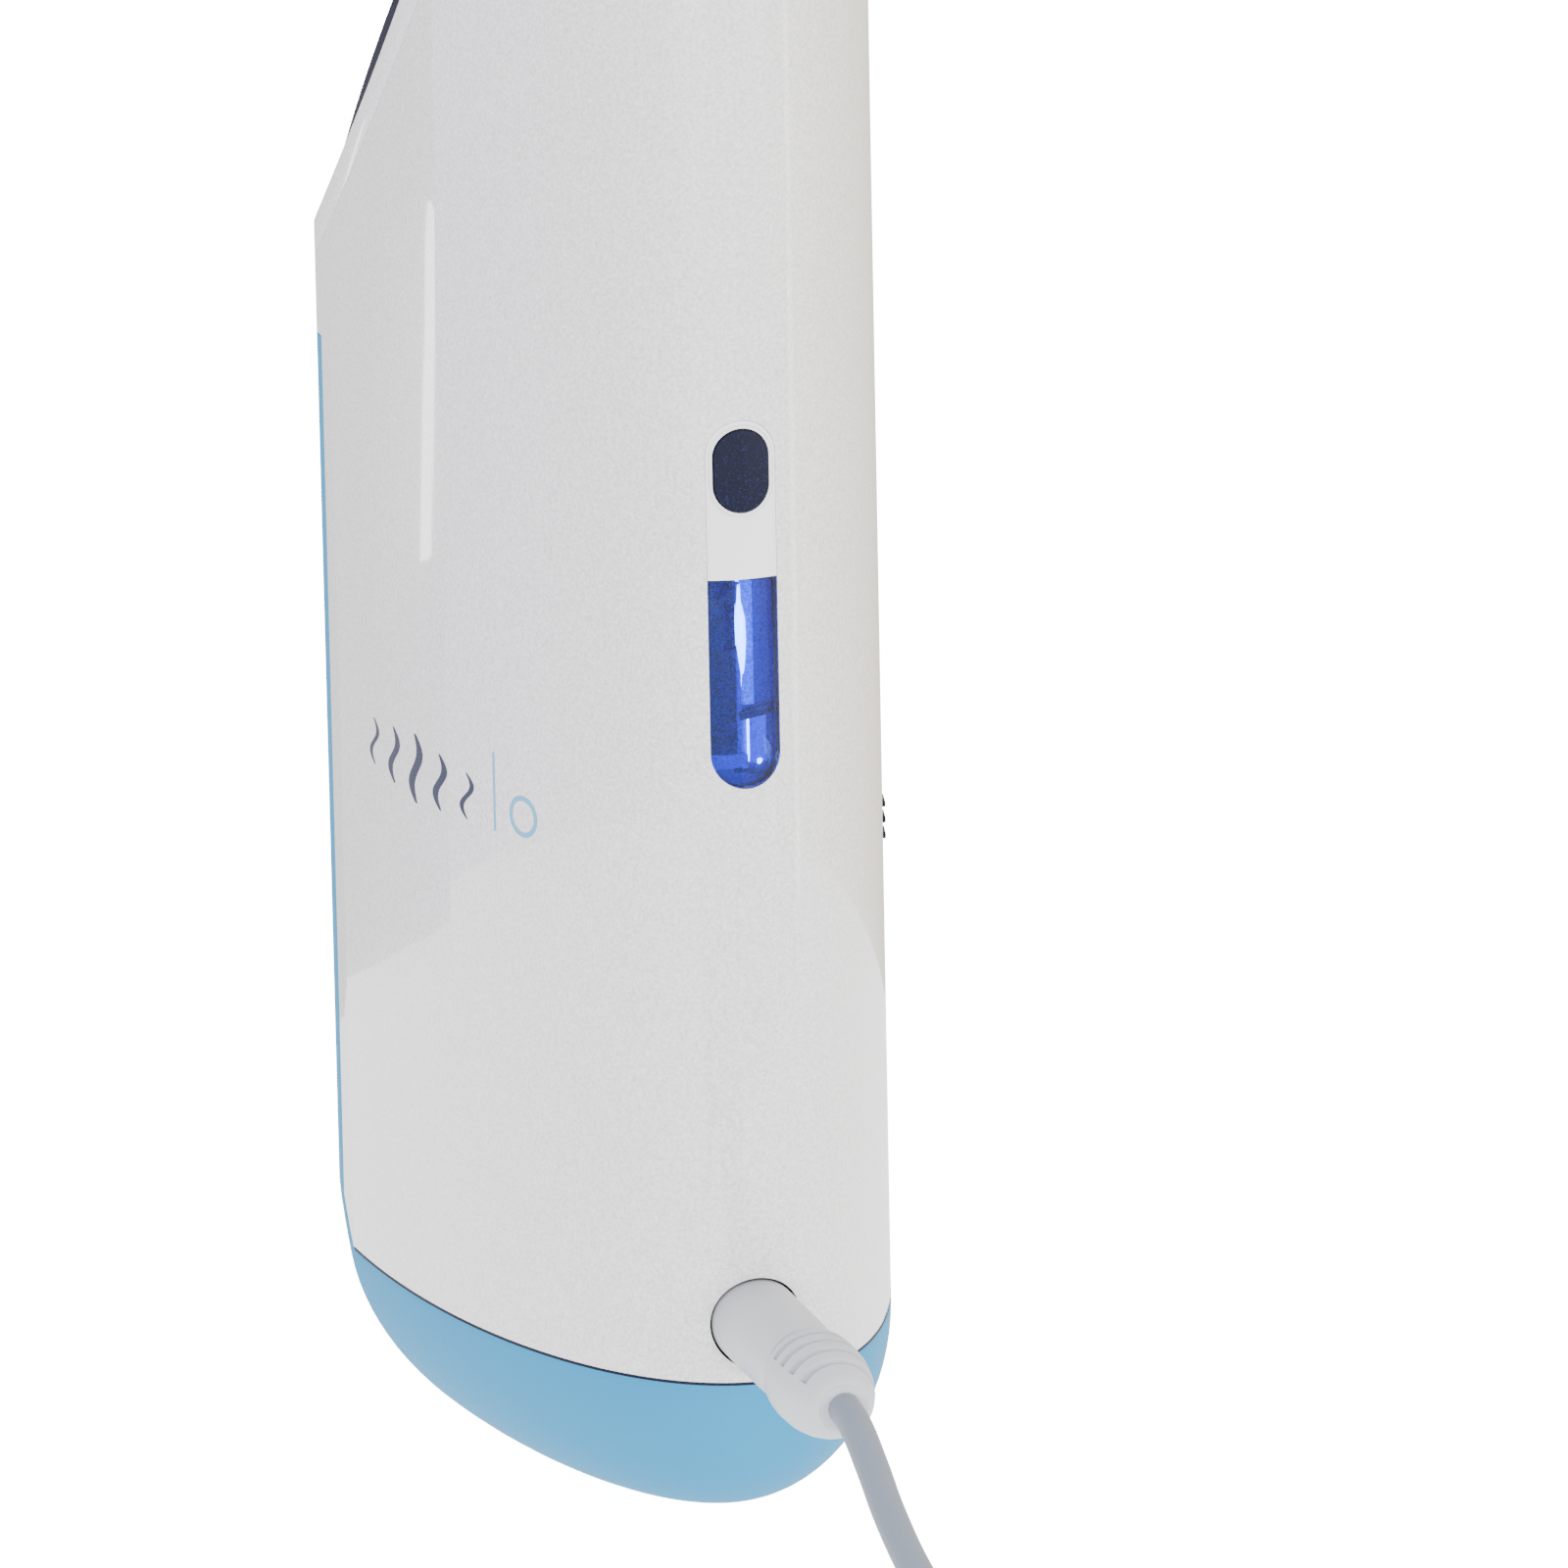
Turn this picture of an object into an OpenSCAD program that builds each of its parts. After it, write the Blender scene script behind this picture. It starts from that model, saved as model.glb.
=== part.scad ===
// Handheld steam inhaler: white body with a slanted mist opening, a light-blue back and base,
// a window on the water tank, and a low-voltage lead with a wall adaptor.
// The nose faces -Y, the mist opening faces +Y, and the base stands at z = 0.

/* [Body] */
// Width of the body
body_w = 77; // [72:1:93]
// Depth of the body, from the nose to the flat back
body_d = 105; // [96:1:126]
// Height of the body
body_h = 250; // [242:1:300]
// Radius of the two upright back corners
corner_r = 8; // [6:0.5:10]
// Height of the parting line between the base and the front shell
base_h = 24; // [23:0.5:25]
// Radius of the base's lower edge
base_fillet = 22; // [16:0.5:22]
// Radius of the base's rear lower edge, seen from the side
stern_r = 60; // [52:1:62]
// Radius of the edge of the crown
crown_r = 24; // [18:1:26]
// Wall of the shells
wall = 2.2; // [1.8:0.1:2.8]
// How far the front shell reaches past the widest place at its lower end
seam_lead = 2; // [1:0.5:4]
// Height of the back shell's upper edge
panel_top = 163; // [144:1:168]

/* [Mist opening] */
// Height of the opening's lower edge at the back
shoulder_z = 175; // [172:1:194]
// Distance of the opening's upper end from the nose
crown_back = 36.5; // [32:0.5:42]
// Depth of the rim's hollow curve below a straight line
rim_sag = 6.3; // [4:0.1:9]
// Width of the rim ring
rim_w = 4.2; // [3:0.1:6]
// Depth of the tray below the rim
tray_drop = 11; // [9:0.5:14]
// Depth of the collar's hollow curve, which lets it stand out of the rim
collar_sag = 0.9; // [0.6:0.1:5]
// Wall of the mask collar
collar_wall = 1.8; // [1.4:0.1:2.2]

/* [Front strip] */
// Width of the strip
strip_w = 10.4; // [9:0.1:13]
// Height of the window's lower end
strip_low = 112.8; // [100:0.2:118]
// Height of the window's upper edge
window_top = 143.5; // [136:0.5:145]
// Height of the strip's upper edge
strip_top = 167; // [166.6:0.2:178]
// Width of the power button
button_w = 8; // [7:0.1:8.4]
// Height of the power button
button_h = 12; // [10:0.5:14]
// Height of the power button's centre
button_z = 159.6; // [157:0.2:161]
// Travel of the power button
button_travel = 1; // [0.6:0.1:1.2]

/* [Feed] */
// Height of the feed socket's axis
jack_z = 33; // [32.5:0.1:38]
// Diameter of the plug's collar
plug_d = 13; // [12:0.5:14.5]
// Length of the collar outside the nose
plug_len = 25; // [20:1:30]
// Diameter of the ribbed boot
boot_d = 14.4; // [13.6:0.2:17]
// Length of the ribbed boot
boot_len = 21; // [21:1:25]
// Diameter of the plug's barrel
barrel_d = 5.5; // [5:0.1:6]
// Length of the plug's barrel
barrel_len = 9.5; // [8:0.5:11]
// Diameter of the cord
cord_d = 4.8; // [4:0.1:5]

/* [Mist slider] */
// Height of the slider's middle
slider_z = 94; // [82:1:98]
// Travel of the slider each way from its middle
slider_travel = 6; // [4:0.5:7]

/* [Tank and boiler] */
// Height of the deck's upper face
deck_z = 52; // [50:0.5:54]
// Height of the tank's top
tank_top = 146; // [142:0.5:146.5]
// Wall of the tank
tank_wall = 1.6; // [1.2:0.1:2]
// Outer diameter of the fill pipe
pipe_d = 14; // [11.5:0.5:15]
// Outer diameter of the boiler
boiler_d = 36; // [30:0.5:37]
// Height of the boiler's body
boiler_h = 45; // [36:1:46]
// Outer diameter of the mist duct
duct_d = 26; // [22:0.5:27]
// Diameter of the wick
wick_d = 6; // [5:0.5:7]

/* [Adaptor] */
// Width of the adaptor
adaptor_w = 44; // [40:1:44]
// Length of the adaptor's case
adaptor_len = 54; // [48:1:60]
// Height of the adaptor
adaptor_h = 28; // [26:1:34]

/* [Hidden] */
gap = 0.2;
slide_gap = 0.35;
big = 400;
front_steps = 48;
corner_steps = 6;
half_w = body_w / 2;
nose_y = -body_d / 2;
back_y = body_d / 2;
wide_y = back_y - corner_r;
seam_y = wide_y - seam_lead;
seam_in = 2;
under_z = 0.6;

crown_y = nose_y + crown_back;
chord = [crown_y - back_y, body_h - shoulder_z];
chord_len = norm(chord);
chord_mid = [(crown_y + back_y) / 2, (body_h + shoulder_z) / 2];
scoop_out = [chord[1], -chord[0]] / chord_len;
scoop_r = pow(chord_len / 2, 2) / (2 * rim_sag) + rim_sag / 2;
scoop_mid = chord_mid + scoop_out * (scoop_r - rim_sag);

duct_y = 26;
pipe_y = -1;
tank_back = -14;
tank_step_z = 114;
tank_upper_back = 8;
tank_inset = 4;
stand_h = 8;
heater_h = 3;
boiler_z = deck_z + stand_h + heater_h;
cone_z = boiler_z + boiler_h;
cone_h = 10;
duct_z = cone_z + cone_h;
wick_z = boiler_z + 12;
grille_z = 174;
// The pipe ends just above the tray's highest point beside the cap
cap_front_y = pipe_y - pipe_d / 2 - 1;
pipe_top = scoop_mid[1] + 1
    - sqrt(pow(scoop_r + tray_drop, 2) - pow(scoop_mid[0] - cap_front_y, 2));
switch_face = nose_y + 4.4 + button_travel + 0.4;

plug_in = 4.5;
jack_face = nose_y + plug_in + 0.5;
jack_len = 13;
jack_w = 11;
jack_pin_d = 2.1;
barrel_bore = 2.6;
plug_end = nose_y - plug_len;
boot_end = plug_end - boot_len;

slider_y = -2;
flank_cos = 1 - (slider_y - nose_y) / (body_d - corner_r);
flank_sin = sqrt(1 - flank_cos * flank_cos);
slider_x = half_w * flank_sin;
slider_turn = atan(half_w / (body_d - corner_r) * flank_cos / flank_sin);
recess_w = 16;
recess_h = 30;
recess_depth = 1.6;
stem_h = 5;

screw_spots = [[-19, 9], [19, 9], [-17, -9], [17, -9]];
screw_seat = 8;
boss_top = 10.6;
board_z = 40;
foot_spots = [[-12, 16], [12, 16], [-6, -12], [6, -12]];
foot_d = 10;
foot_in = 1;

// The route of the cord from the boot to the coil, and from the coil to the adaptor
cord_route = [
    [0, boot_end, jack_z], [0, boot_end - 6, 31.9], [0, boot_end - 14, 28.4],
    [0, boot_end - 24, 23.3], [1, boot_end - 35, 17.6], [3.5, boot_end - 46, 11.9],
    [8, boot_end - 57, 7.1], [13, boot_end - 67, 4.2], [17.5, boot_end - 77, 3.1],
    [20.3, boot_end - 86, 3.2], [21.3, boot_end - 95, 3.4]];
coil_r = 28.8;
coil_half = 7.4;
coil_lift = 1;
coil_x = -12.3;
coil_y = boot_end - 103;
coil_top = coil_lift + 2 * coil_half;
tail_x = 16.5;
adaptor_y = coil_y - 58;
tail_route = [
    [tail_x, coil_y - 16, 13.1], [tail_x, coil_y - 27, 12.7], [tail_x, coil_y - 38, 12.7],
    [tail_x, coil_y - 45, 13.3], [tail_x, adaptor_y + 8, 14]];
case_wall = 2;
cover_t = 5;

// ---- Plan shape: a half ellipse in front, and a flat back with round corners ----

function corner_at(i) = max(corner_r - i, 1);
function centre_at(i) = back_y - i - corner_at(i);
function front_at(i) = centre_at(i) - nose_y - i;

function outline(i) = concat(
    [for (k = [0:front_steps]) let (t = -90 + 180 * k / front_steps)
        [(half_w - i) * sin(t), centre_at(i) - front_at(i) * cos(t)]],
    [for (k = [1:corner_steps]) let (t = 90 * k / corner_steps)
        [half_w - i - corner_at(i) * (1 - cos(t)), centre_at(i) + corner_at(i) * sin(t)]],
    [for (k = [corner_steps:-1:1]) let (t = 90 * k / corner_steps)
        [-half_w + i + corner_at(i) * (1 - cos(t)), centre_at(i) + corner_at(i) * sin(t)]]);

module plan(i) {
    polygon(outline(i));
}

module prism(i, low, high) {
    translate([0, 0, low]) linear_extrude(high - low) plan(i);
}

// A closed solid through one outline a ring, where each ring is [height, inset]
module loft(rings) {
    n = len(outline(0));
    points = [for (ring = rings) for (p = outline(ring[1])) [p[0], p[1], ring[0]]];
    last = (len(rings) - 1) * n;
    sides = [for (r = [0:len(rings) - 2]) for (k = [0:n - 1]) let (m = (k + 1) % n)
        [r * n + k, (r + 1) * n + k, (r + 1) * n + m, r * n + m]];
    floor_face = [[for (k = [0:n - 1]) k]];
    top_face = [[for (k = [n - 1:-1:0]) last + k]];
    polyhedron(points, concat(sides, floor_face, top_face));
}

function crown_rings(i) = [for (k = [0:8]) let (t = k * 82 / 8)
    [body_h - crown_r + (crown_r - i) * sin(t), i + (crown_r - i) * (1 - cos(t))]];

module tall_body(i, low) {
    loft(concat([[low, i]], crown_rings(i)));
}

// Everything ahead of and above the rounded rear lower edge
module stern(i) {
    middle = [back_y - stern_r, under_z + stern_r];
    arc = [for (k = [0:24]) let (t = -90 + 90 * k / 24)
        middle + (stern_r - i) * [cos(t), sin(t)]];
    translate([-big / 2, 0, 0]) rotate([90, 0, 90]) linear_extrude(big)
        polygon(concat([[-big, under_z + i]], arc, [[back_y - i, big], [-big, big]]));
}

module base_body(i) {
    r = base_fillet - i;
    rings = [for (k = [0:10]) let (t = 90 - 9 * k)
        [under_z + base_fillet - r * sin(t), i + r * (1 - cos(t))]];
    intersection() {
        loft(concat(rings, [[base_h, i]]));
        stern(i);
    }
}

// What lies behind the rounded rear lower edge when it is moved inwards
module stern_waste(i) {
    difference() {
        behind(seam_y - 12, -1, stern_r - 10);
        stern(i);
    }
}

// The base's outside carried straight up, for what stands on the floor inside
module tall_base(i) {
    union() {
        base_body(i);
        prism(i, base_h - 1, jack_z);
    }
}

module feet_blank(g) {
    difference() {
        for (f = foot_spots) translate([f[0], f[1], 0]) cylinder(d = foot_d + g, h = 12, $fn = 48);
        stern(foot_in);
    }
}

module back_prism(i, low) {
    intersection() {
        prism(i, low, panel_top + i - gap);
        stern(i);
    }
}

// The hollow curve of the mist opening, grown into the body
module scoop(grow) {
    translate([0, scoop_mid[0], scoop_mid[1]])
        rotate([0, 90, 0])
            cylinder(r = scoop_r + grow, h = body_w + 40, center = true, $fn = 180);
}

// What lies outside the collar's own, flatter curve between the same two ends
module collar_scoop() {
    r = pow(chord_len / 2, 2) / (2 * collar_sag) + collar_sag / 2;
    middle = chord_mid + scoop_out * (r - collar_sag);
    turn = atan2(-scoop_out[1], -scoop_out[0]);
    reach = asin(0.6 * chord_len / r);
    arc = [for (k = [0:24]) let (t = turn + reach * (k / 12 - 1)) middle + r * [cos(t), sin(t)]];
    translate([-big / 2, 0, 0]) rotate([90, 0, 90]) linear_extrude(big)
        polygon(concat(arc, [arc[24] + scoop_out * 80, arc[0] + scoop_out * 80]));
}

module behind(y, low, high) {
    translate([-big / 2, y, low]) cube([big, big, high - low]);
}

module ahead(y, low, high) {
    translate([-big / 2, y - big, low]) cube([big, big, high - low]);
}

// ---- Front strip ----

module pill_2d(w, h) {
    r = w / 2;
    translate([0, h / 2 - r]) circle(r, $fn = 48);
    translate([0, r - h / 2]) circle(r, $fn = 48);
    square([w, h - w], center = true);
}

// Pushes a flat shape in XZ back through the nose
module through_nose(depth) {
    translate([0, nose_y + depth, 0])
        rotate([90, 0, 0]) linear_extrude(depth + 6) children();
}

module strip_2d(g) {
    r = strip_w / 2 - g;
    translate([0, strip_low + strip_w / 2]) circle(r, $fn = 64);
    translate([0, strip_top - strip_w / 2]) circle(r, $fn = 64);
    translate([-r, strip_low + strip_w / 2]) square([2 * r, strip_top - strip_low - strip_w]);
}

module nose_bore(d, from, length) {
    translate([0, from, jack_z]) rotate([90, 0, 0]) cylinder(d = d, h = length, $fn = 64);
}

// ---- Slider frame: +X points out of the right flank ----

module at_slider() {
    translate([slider_x, slider_y, slider_z]) rotate([0, 0, -slider_turn]) children();
}

module flank_pill(w, h, from, to) {
    translate([from, 0, 0])
        rotate([90, 0, 90]) linear_extrude(to - from) pill_2d(w, h);
}

// ---- Shells ----

module front_shell() {
    color("whitesmoke")
    difference() {
        tall_body(0, base_h + gap);
        tall_body(wall, base_h - 1);
        scoop(rim_w + gap);
        behind(seam_y, base_h - 1, panel_top);
        stern_waste(seam_in);
        through_nose(20) strip_2d(0);
        nose_bore(plug_d + 2 * slide_gap, nose_y + 10, 20);
        at_slider() flank_pill(recess_w, recess_h, -8, 8);
    }
}

module back_shell() {
    color("lightskyblue")
    difference() {
        union() {
            difference() {
                base_body(0);
                base_body(wall);
            }
            intersection() {
                difference() {
                    back_prism(0, base_h - 3);
                    back_prism(wall, base_h - 4);
                }
                union() {
                    behind(seam_y + gap, base_h - 4, panel_top);
                    stern_waste(seam_in - gap);
                    prism(wall + gap, base_h - 4, stern_r);
                }
            }
            intersection() {
                base_body(0.5);
                for (s = screw_spots) translate([s[0], s[1], 0]) cylinder(d = 9, h = boss_top, $fn = 32);
            }
            intersection() {
                tall_base(0.5);
                translate([-jack_w / 2, jack_face + 3, 0])
                    cube([jack_w, jack_len - 3, jack_z - jack_w / 2]);
            }
        }
        for (s = screw_spots) {
            translate([s[0], s[1], 0]) cylinder(d = 6, h = screw_seat, $fn = 48);
            translate([s[0], s[1], 0]) cylinder(d = 3.4, h = 20, $fn = 48);
        }
        feet_blank(0.2);
    }
}

module rim_ring() {
    color("white")
    intersection() {
        difference() {
            tall_body(0, shoulder_z - 30);
            tall_body(wall, shoulder_z - 31);
            scoop(0);
        }
        scoop(rim_w);
    }
}

module mask_collar() {
    color("midnightblue")
    intersection() {
        difference() {
            tall_body(wall + gap, shoulder_z - 40);
            tall_body(wall + gap + collar_wall, shoulder_z - 41);
            collar_scoop();
        }
        scoop(tray_drop + 2);
    }
}

module scoop_tray() {
    color("gainsboro")
    intersection() {
        difference() {
            tall_body(wall + 2 * gap + collar_wall, shoulder_z - 60);
            scoop(tray_drop);
            translate([0, duct_y, 0]) cylinder(d = duct_d + 2 * gap, h = big, $fn = 72);
            translate([0, pipe_y, 0]) cylinder(d = pipe_d + 2 * gap, h = big, $fn = 72);
        }
        scoop(tray_drop + 2);
    }
}

// ---- Mist path ----

module mist_duct() {
    color("white")
    difference() {
        translate([0, duct_y, duct_z]) cylinder(d = duct_d, h = grille_z + 30 - duct_z, $fn = 72);
        translate([0, duct_y, duct_z - 1]) cylinder(d = duct_d - 3, h = big, $fn = 72);
        scoop(tray_drop - 1);
    }
}

module mist_grille() {
    color("whitesmoke")
    translate([0, duct_y, grille_z])
    difference() {
        cylinder(d = duct_d - 3 - 2 * gap, h = 2, $fn = 72);
        for (k = [-2:2]) translate([k * 4 - 1, abs(k) - 8, -1]) cube([2, 16 - 2 * abs(k), 4]);
    }
}

module boiler_cone() {
    color("white")
    translate([0, duct_y, cone_z])
    rotate_extrude($fn = 72)
        polygon([[boiler_d / 2 - 2, 0], [boiler_d / 2, 0], [boiler_d / 2, 1], [duct_d / 2, cone_h],
            [duct_d / 2 - 1.5, cone_h], [boiler_d / 2 - 2, 1.5]]);
}

module boiler_body() {
    color("silver")
    difference() {
        translate([0, duct_y, boiler_z]) cylinder(d = boiler_d, h = boiler_h, $fn = 72);
        translate([0, duct_y, boiler_z + 1.5]) cylinder(d = boiler_d - 4, h = boiler_h, $fn = 72);
        translate([0, duct_y, wick_z]) rotate([90, 0, 0])
            cylinder(d = wick_d + 3 + 2 * gap, h = 40, $fn = 48);
    }
}

module heater_plate() {
    color("tan")
    translate([0, duct_y, deck_z + stand_h]) cylinder(d = boiler_d - 2, h = heater_h, $fn = 72);
}

module boiler_stand() {
    color("dimgray")
    translate([0, duct_y, deck_z])
    difference() {
        cylinder(d = boiler_d, h = stand_h, $fn = 72);
        translate([0, 0, -1]) cylinder(d = boiler_d - 8, h = stand_h + 2, $fn = 72);
    }
}

module thermal_fuse() {
    color("firebrick")
    translate([-5, duct_y - 3, deck_z + stand_h - 4]) cube([10, 6, 4]);
}

module wick() {
    color("ivory")
    translate([0, duct_y - boiler_d / 2 + 8, wick_z])
        rotate([90, 0, 0])
            cylinder(d = wick_d, h = duct_y - boiler_d / 2 + 8 - tank_back + 8, $fn = 48);
}

module wick_holder() {
    color("silver")
    translate([0, duct_y - boiler_d / 2 + 4, wick_z])
    rotate([90, 0, 0])
    difference() {
        cylinder(d = wick_d + 3, h = duct_y - boiler_d / 2 + 4 - tank_back + 3, $fn = 48);
        translate([0, 0, -1]) cylinder(d = wick_d + 0.1, h = 80, $fn = 48);
    }
}

// ---- Water tank ----

module tank_solid(i) {
    intersection() {
        prism(tank_inset + i, deck_z + i, tank_top - i);
        union() {
            ahead(tank_back - i, deck_z, tank_top);
            ahead(tank_upper_back - i, tank_step_z + i, tank_top);
        }
    }
}

module water_tank() {
    color("aliceblue")
    difference() {
        tank_solid(0);
        tank_solid(tank_wall);
        translate([0, tank_back + 10, wick_z]) rotate([90, 0, 0])
            cylinder(d = wick_d + 3 + 2 * gap, h = 14, $fn = 48);
        translate([0, pipe_y, tank_top - 10]) cylinder(d = pipe_d - 3, h = 20, $fn = 64);
    }
}

module fill_pipe() {
    color("aliceblue")
    difference() {
        translate([0, pipe_y, tank_top]) cylinder(d = pipe_d, h = pipe_top - tank_top, $fn = 64);
        translate([0, pipe_y, tank_top - 1]) cylinder(d = pipe_d - 3, h = big, $fn = 64);
    }
}

module tank_cap() {
    color("cornflowerblue")
    translate([0, pipe_y, pipe_top + 0.9])
    union() {
        cylinder(d = pipe_d + 2, h = 3, $fn = 64);
        translate([0, 0, -4.8]) cylinder(d = pipe_d - 5, h = 5, $fn = 64);
        translate([-1, -pipe_d / 2, 2]) cube([2, pipe_d, 4]);
    }
}

module cap_seal() {
    color("dimgray")
    translate([0, pipe_y, pipe_top + 0.1])
    difference() {
        cylinder(d = pipe_d, h = 0.8, $fn = 64);
        translate([0, 0, -1]) cylinder(d = pipe_d - 5, h = 3, $fn = 64);
    }
}

// ---- Front strip pieces ----

module strip_wall(low, high) {
    intersection() {
        difference() {
            prism(0, low, high);
            prism(wall, low - 1, high + 1);
        }
        through_nose(20) strip_2d(gap);
    }
}

module tank_window() {
    color("royalblue")
    strip_wall(strip_low - 1, window_top);
}

module inlay_panel() {
    color("white")
    difference() {
        union() {
            strip_wall(window_top + gap, strip_top + 1);
            translate([0, nose_y + 9, window_top + 4.4]) rotate([90, 0, 0])
                cylinder(d = 3, h = 9 - wall / 2, $fn = 32);
        }
        through_nose(20) translate([0, button_z]) pill_2d(button_w + 1.4, button_h + 1.4);
    }
}

module button_ring() {
    color("white")
    intersection() {
        difference() {
            prism(0, button_z - button_h, button_z + button_h);
            prism(wall, 0, big);
        }
        through_nose(20) translate([0, button_z]) difference() {
            pill_2d(button_w + 1.4 - 0.1, button_h + 1.4 - 0.1);
            pill_2d(button_w + 0.4, button_h + 0.4);
        }
    }
}

module power_button() {
    color("midnightblue")
    intersection() {
        prism(-0.4, button_z - button_h, button_z + button_h);
        translate([0, nose_y + 3, 0]) rotate([90, 0, 0]) linear_extrude(9)
            translate([0, button_z]) pill_2d(button_w, button_h);
    }
}

module button_post() {
    color("dimgray")
    translate([0, nose_y + 4.4, button_z]) rotate([90, 0, 0]) cylinder(d = 3, h = 1.4, $fn = 32);
}

module tact_switch() {
    color("dimgray")
    translate([-3, switch_face, button_z - 3]) cube([6, nose_y + 9 - switch_face, 6]);
}

module button_board() {
    color("darkgreen")
    translate([-9, nose_y + 9, window_top + 2.5]) cube([18, 1.6, 23]);
}

module status_led() {
    color("lightyellow")
    translate([5, nose_y + 7.8, button_z + 6]) cube([2, 1.2, 1.6]);
}

// ---- Deck, board and feed socket ----

module chassis_deck() {
    color("lightgray")
    difference() {
        union() {
            intersection() {
                prism(wall + gap, deck_z - 2, deck_z);
                stern(wall + gap);
            }
            for (s = screw_spots)
                translate([s[0], s[1], boss_top]) cylinder(d = 8, h = deck_z - 1 - boss_top, $fn = 32);
            for (x = [-10, 10]) for (y = [-10, 34])
                translate([x, y, board_z + 1.6])
                    cylinder(d = 4, h = deck_z - 2.6 - board_z, $fn = 32);
        }
        for (s = screw_spots) translate([s[0], s[1], 0]) cylinder(d = 2.9, h = 26, $fn = 48);
        translate([-6, -40, deck_z - 10]) cube([12, 8, 20]);
    }
}

module main_board() {
    color("darkgreen")
    translate([-12.5, -14, board_z]) cube([25, 54, 1.6]);
}

module board_parts() {
    color("dimgray") translate([0, 0, board_z]) {
        translate([-8, 0, -10]) cylinder(d = 8, h = 10, $fn = 48);
        translate([-8, 10, -7]) cylinder(d = 6, h = 7, $fn = 48);
        translate([4, 6, -4]) cube([8, 8, 4]);
        translate([0, 20, -3]) cube([10, 6, 3]);
        translate([-11, 24, -3]) cube([6, 9, 3]);
        translate([-4, -13, -6]) cube([8, 6, 6]);
    }
}

module jack_wires() {
    color("firebrick")
    for (x = [-2, 2])
        translate([x, jack_face + jack_len, board_z - 3]) rotate([-90, 0, 0])
            cylinder(d = 1.8, h = -13 - jack_face - jack_len, $fn = 24);
}

module dc_jack() {
    color("dimgray")
    difference() {
        translate([-jack_w / 2, jack_face, jack_z - jack_w / 2]) cube([jack_w, jack_len, jack_w]);
        nose_bore(barrel_d + 0.14, jack_face + jack_len - 1.5, jack_len);
    }
}

module jack_pin() {
    color("silver")
    nose_bore(jack_pin_d, jack_face + jack_len - 1.5, jack_len - 3);
}

// ---- Mist slider ----

module slider_bezel() {
    color("lightsteelblue")
    at_slider()
    difference() {
        flank_pill(recess_w - 2 * gap, recess_h - 2 * gap, -6, -recess_depth);
        flank_pill(4.4, stem_h + 2 * slider_travel + 3.4, -8, 2);
    }
}

module mist_slider() {
    color("midnightblue")
    at_slider()
    union() {
        flank_pill(8, 11, 0.35 - recess_depth, 0);
        for (k = [-1:1]) translate([-0.2, -2.5, k * 2.4 - 0.4]) cube([0.8, 5, 0.8]);
    }
}

module slider_stem() {
    color("dimgray")
    at_slider()
    union() {
        translate([-8, -1.8, -stem_h / 2]) cube([8.35 - recess_depth, 3.6, stem_h]);
        translate([-8, -4, -stem_h / 2]) cube([1.6, 8, stem_h]);
    }
}

module slide_switch() {
    color("gray")
    at_slider()
    translate([-13, -4, -13]) cube([4.6, 8, 26]);
}

// ---- Base hardware ----

module feet() {
    color("dimgray")
    feet_blank(0);
}

module screws() {
    color("silver")
    for (s = screw_spots) translate([s[0], s[1], screw_seat - 2])
        union() {
            cylinder(d = 5.4, h = 2, $fn = 48);
            cylinder(d = 2.8, h = 17, $fn = 48);
        }
}

// ---- Plug, cord, coil and adaptor ----

// Turns a profile of [radius, distance] about an axis that leaves the nose
module from_nose(y, x = 0, z = jack_z) {
    translate([x, y, z]) rotate([90, 0, 0]) rotate_extrude($fn = 72) children();
}

module plug_barrel() {
    color("silver")
    from_nose(nose_y + plug_in + barrel_len)
        polygon([[barrel_bore / 2, 0], [barrel_d / 2, 0], [barrel_d / 2, barrel_len],
            [barrel_bore / 2, barrel_len]]);
}

module plug_body() {
    color("lightgray")
    from_nose(nose_y + plug_in) {
        r = plug_d / 2;
        reach = plug_in + plug_len;
        polygon([[0, 0], [r - 0.6, 0], [r, 0.6], [r, reach - 10], [r - 0.9, reach], [0, reach]]);
    }
}

module plug_boot() {
    color("gainsboro")
    from_nose(plug_end) {
        r = boot_d / 2;
        difference() {
            polygon([[0, 0], [r - 1.6, 0], [r - 0.5, 0.8], [r, 2.2], [r, boot_len - 6],
                [r - 0.7, boot_len - 3.4], [r - 2.4, boot_len - 1.2], [r - 4.6, boot_len - 0.2],
                [r - 5.4, boot_len], [0, boot_len]]);
            for (k = [0:4]) translate([r - 0.7, 3.6 + k * 2.7]) square([3, 1]);
        }
    }
}

// A tube with 10 sides through the points of a route
module tube(route, d) {
    n = 10;
    m = len(route);
    step = [for (k = [0:m - 1]) let (a = route[max(k - 1, 0)], b = route[min(k + 1, m - 1)])
        (b - a) / norm(b - a)];
    ahead_y = [0, -1, 0];
    way = [for (k = [0:m - 1]) (k == 0 || k == m - 1) ? ahead_y : step[k]];
    side = [for (w = way) let (s = cross(w, [0, 0, 1])) s / norm(s)];
    up = [for (k = [0:m - 1]) cross(side[k], way[k])];
    points = [for (k = [0:m - 1]) for (j = [0:n - 1]) let (t = 360 * j / n)
        route[k] + (side[k] * cos(t) + up[k] * sin(t)) * d / 2];
    sides = [for (k = [0:m - 2]) for (j = [0:n - 1]) let (i = (j + 1) % n)
        [k * n + j, k * n + i, (k + 1) * n + i, (k + 1) * n + j]];
    start_face = [[for (j = [n - 1:-1:0]) j]];
    end_face = [[for (j = [0:n - 1]) (m - 1) * n + j]];
    polyhedron(points, concat(sides, start_face, end_face));
}

module cord() {
    color("lightslategray") tube(cord_route, cord_d);
}

module cord_tail() {
    color("lightslategray") tube(tail_route, cord_d);
}

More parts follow.
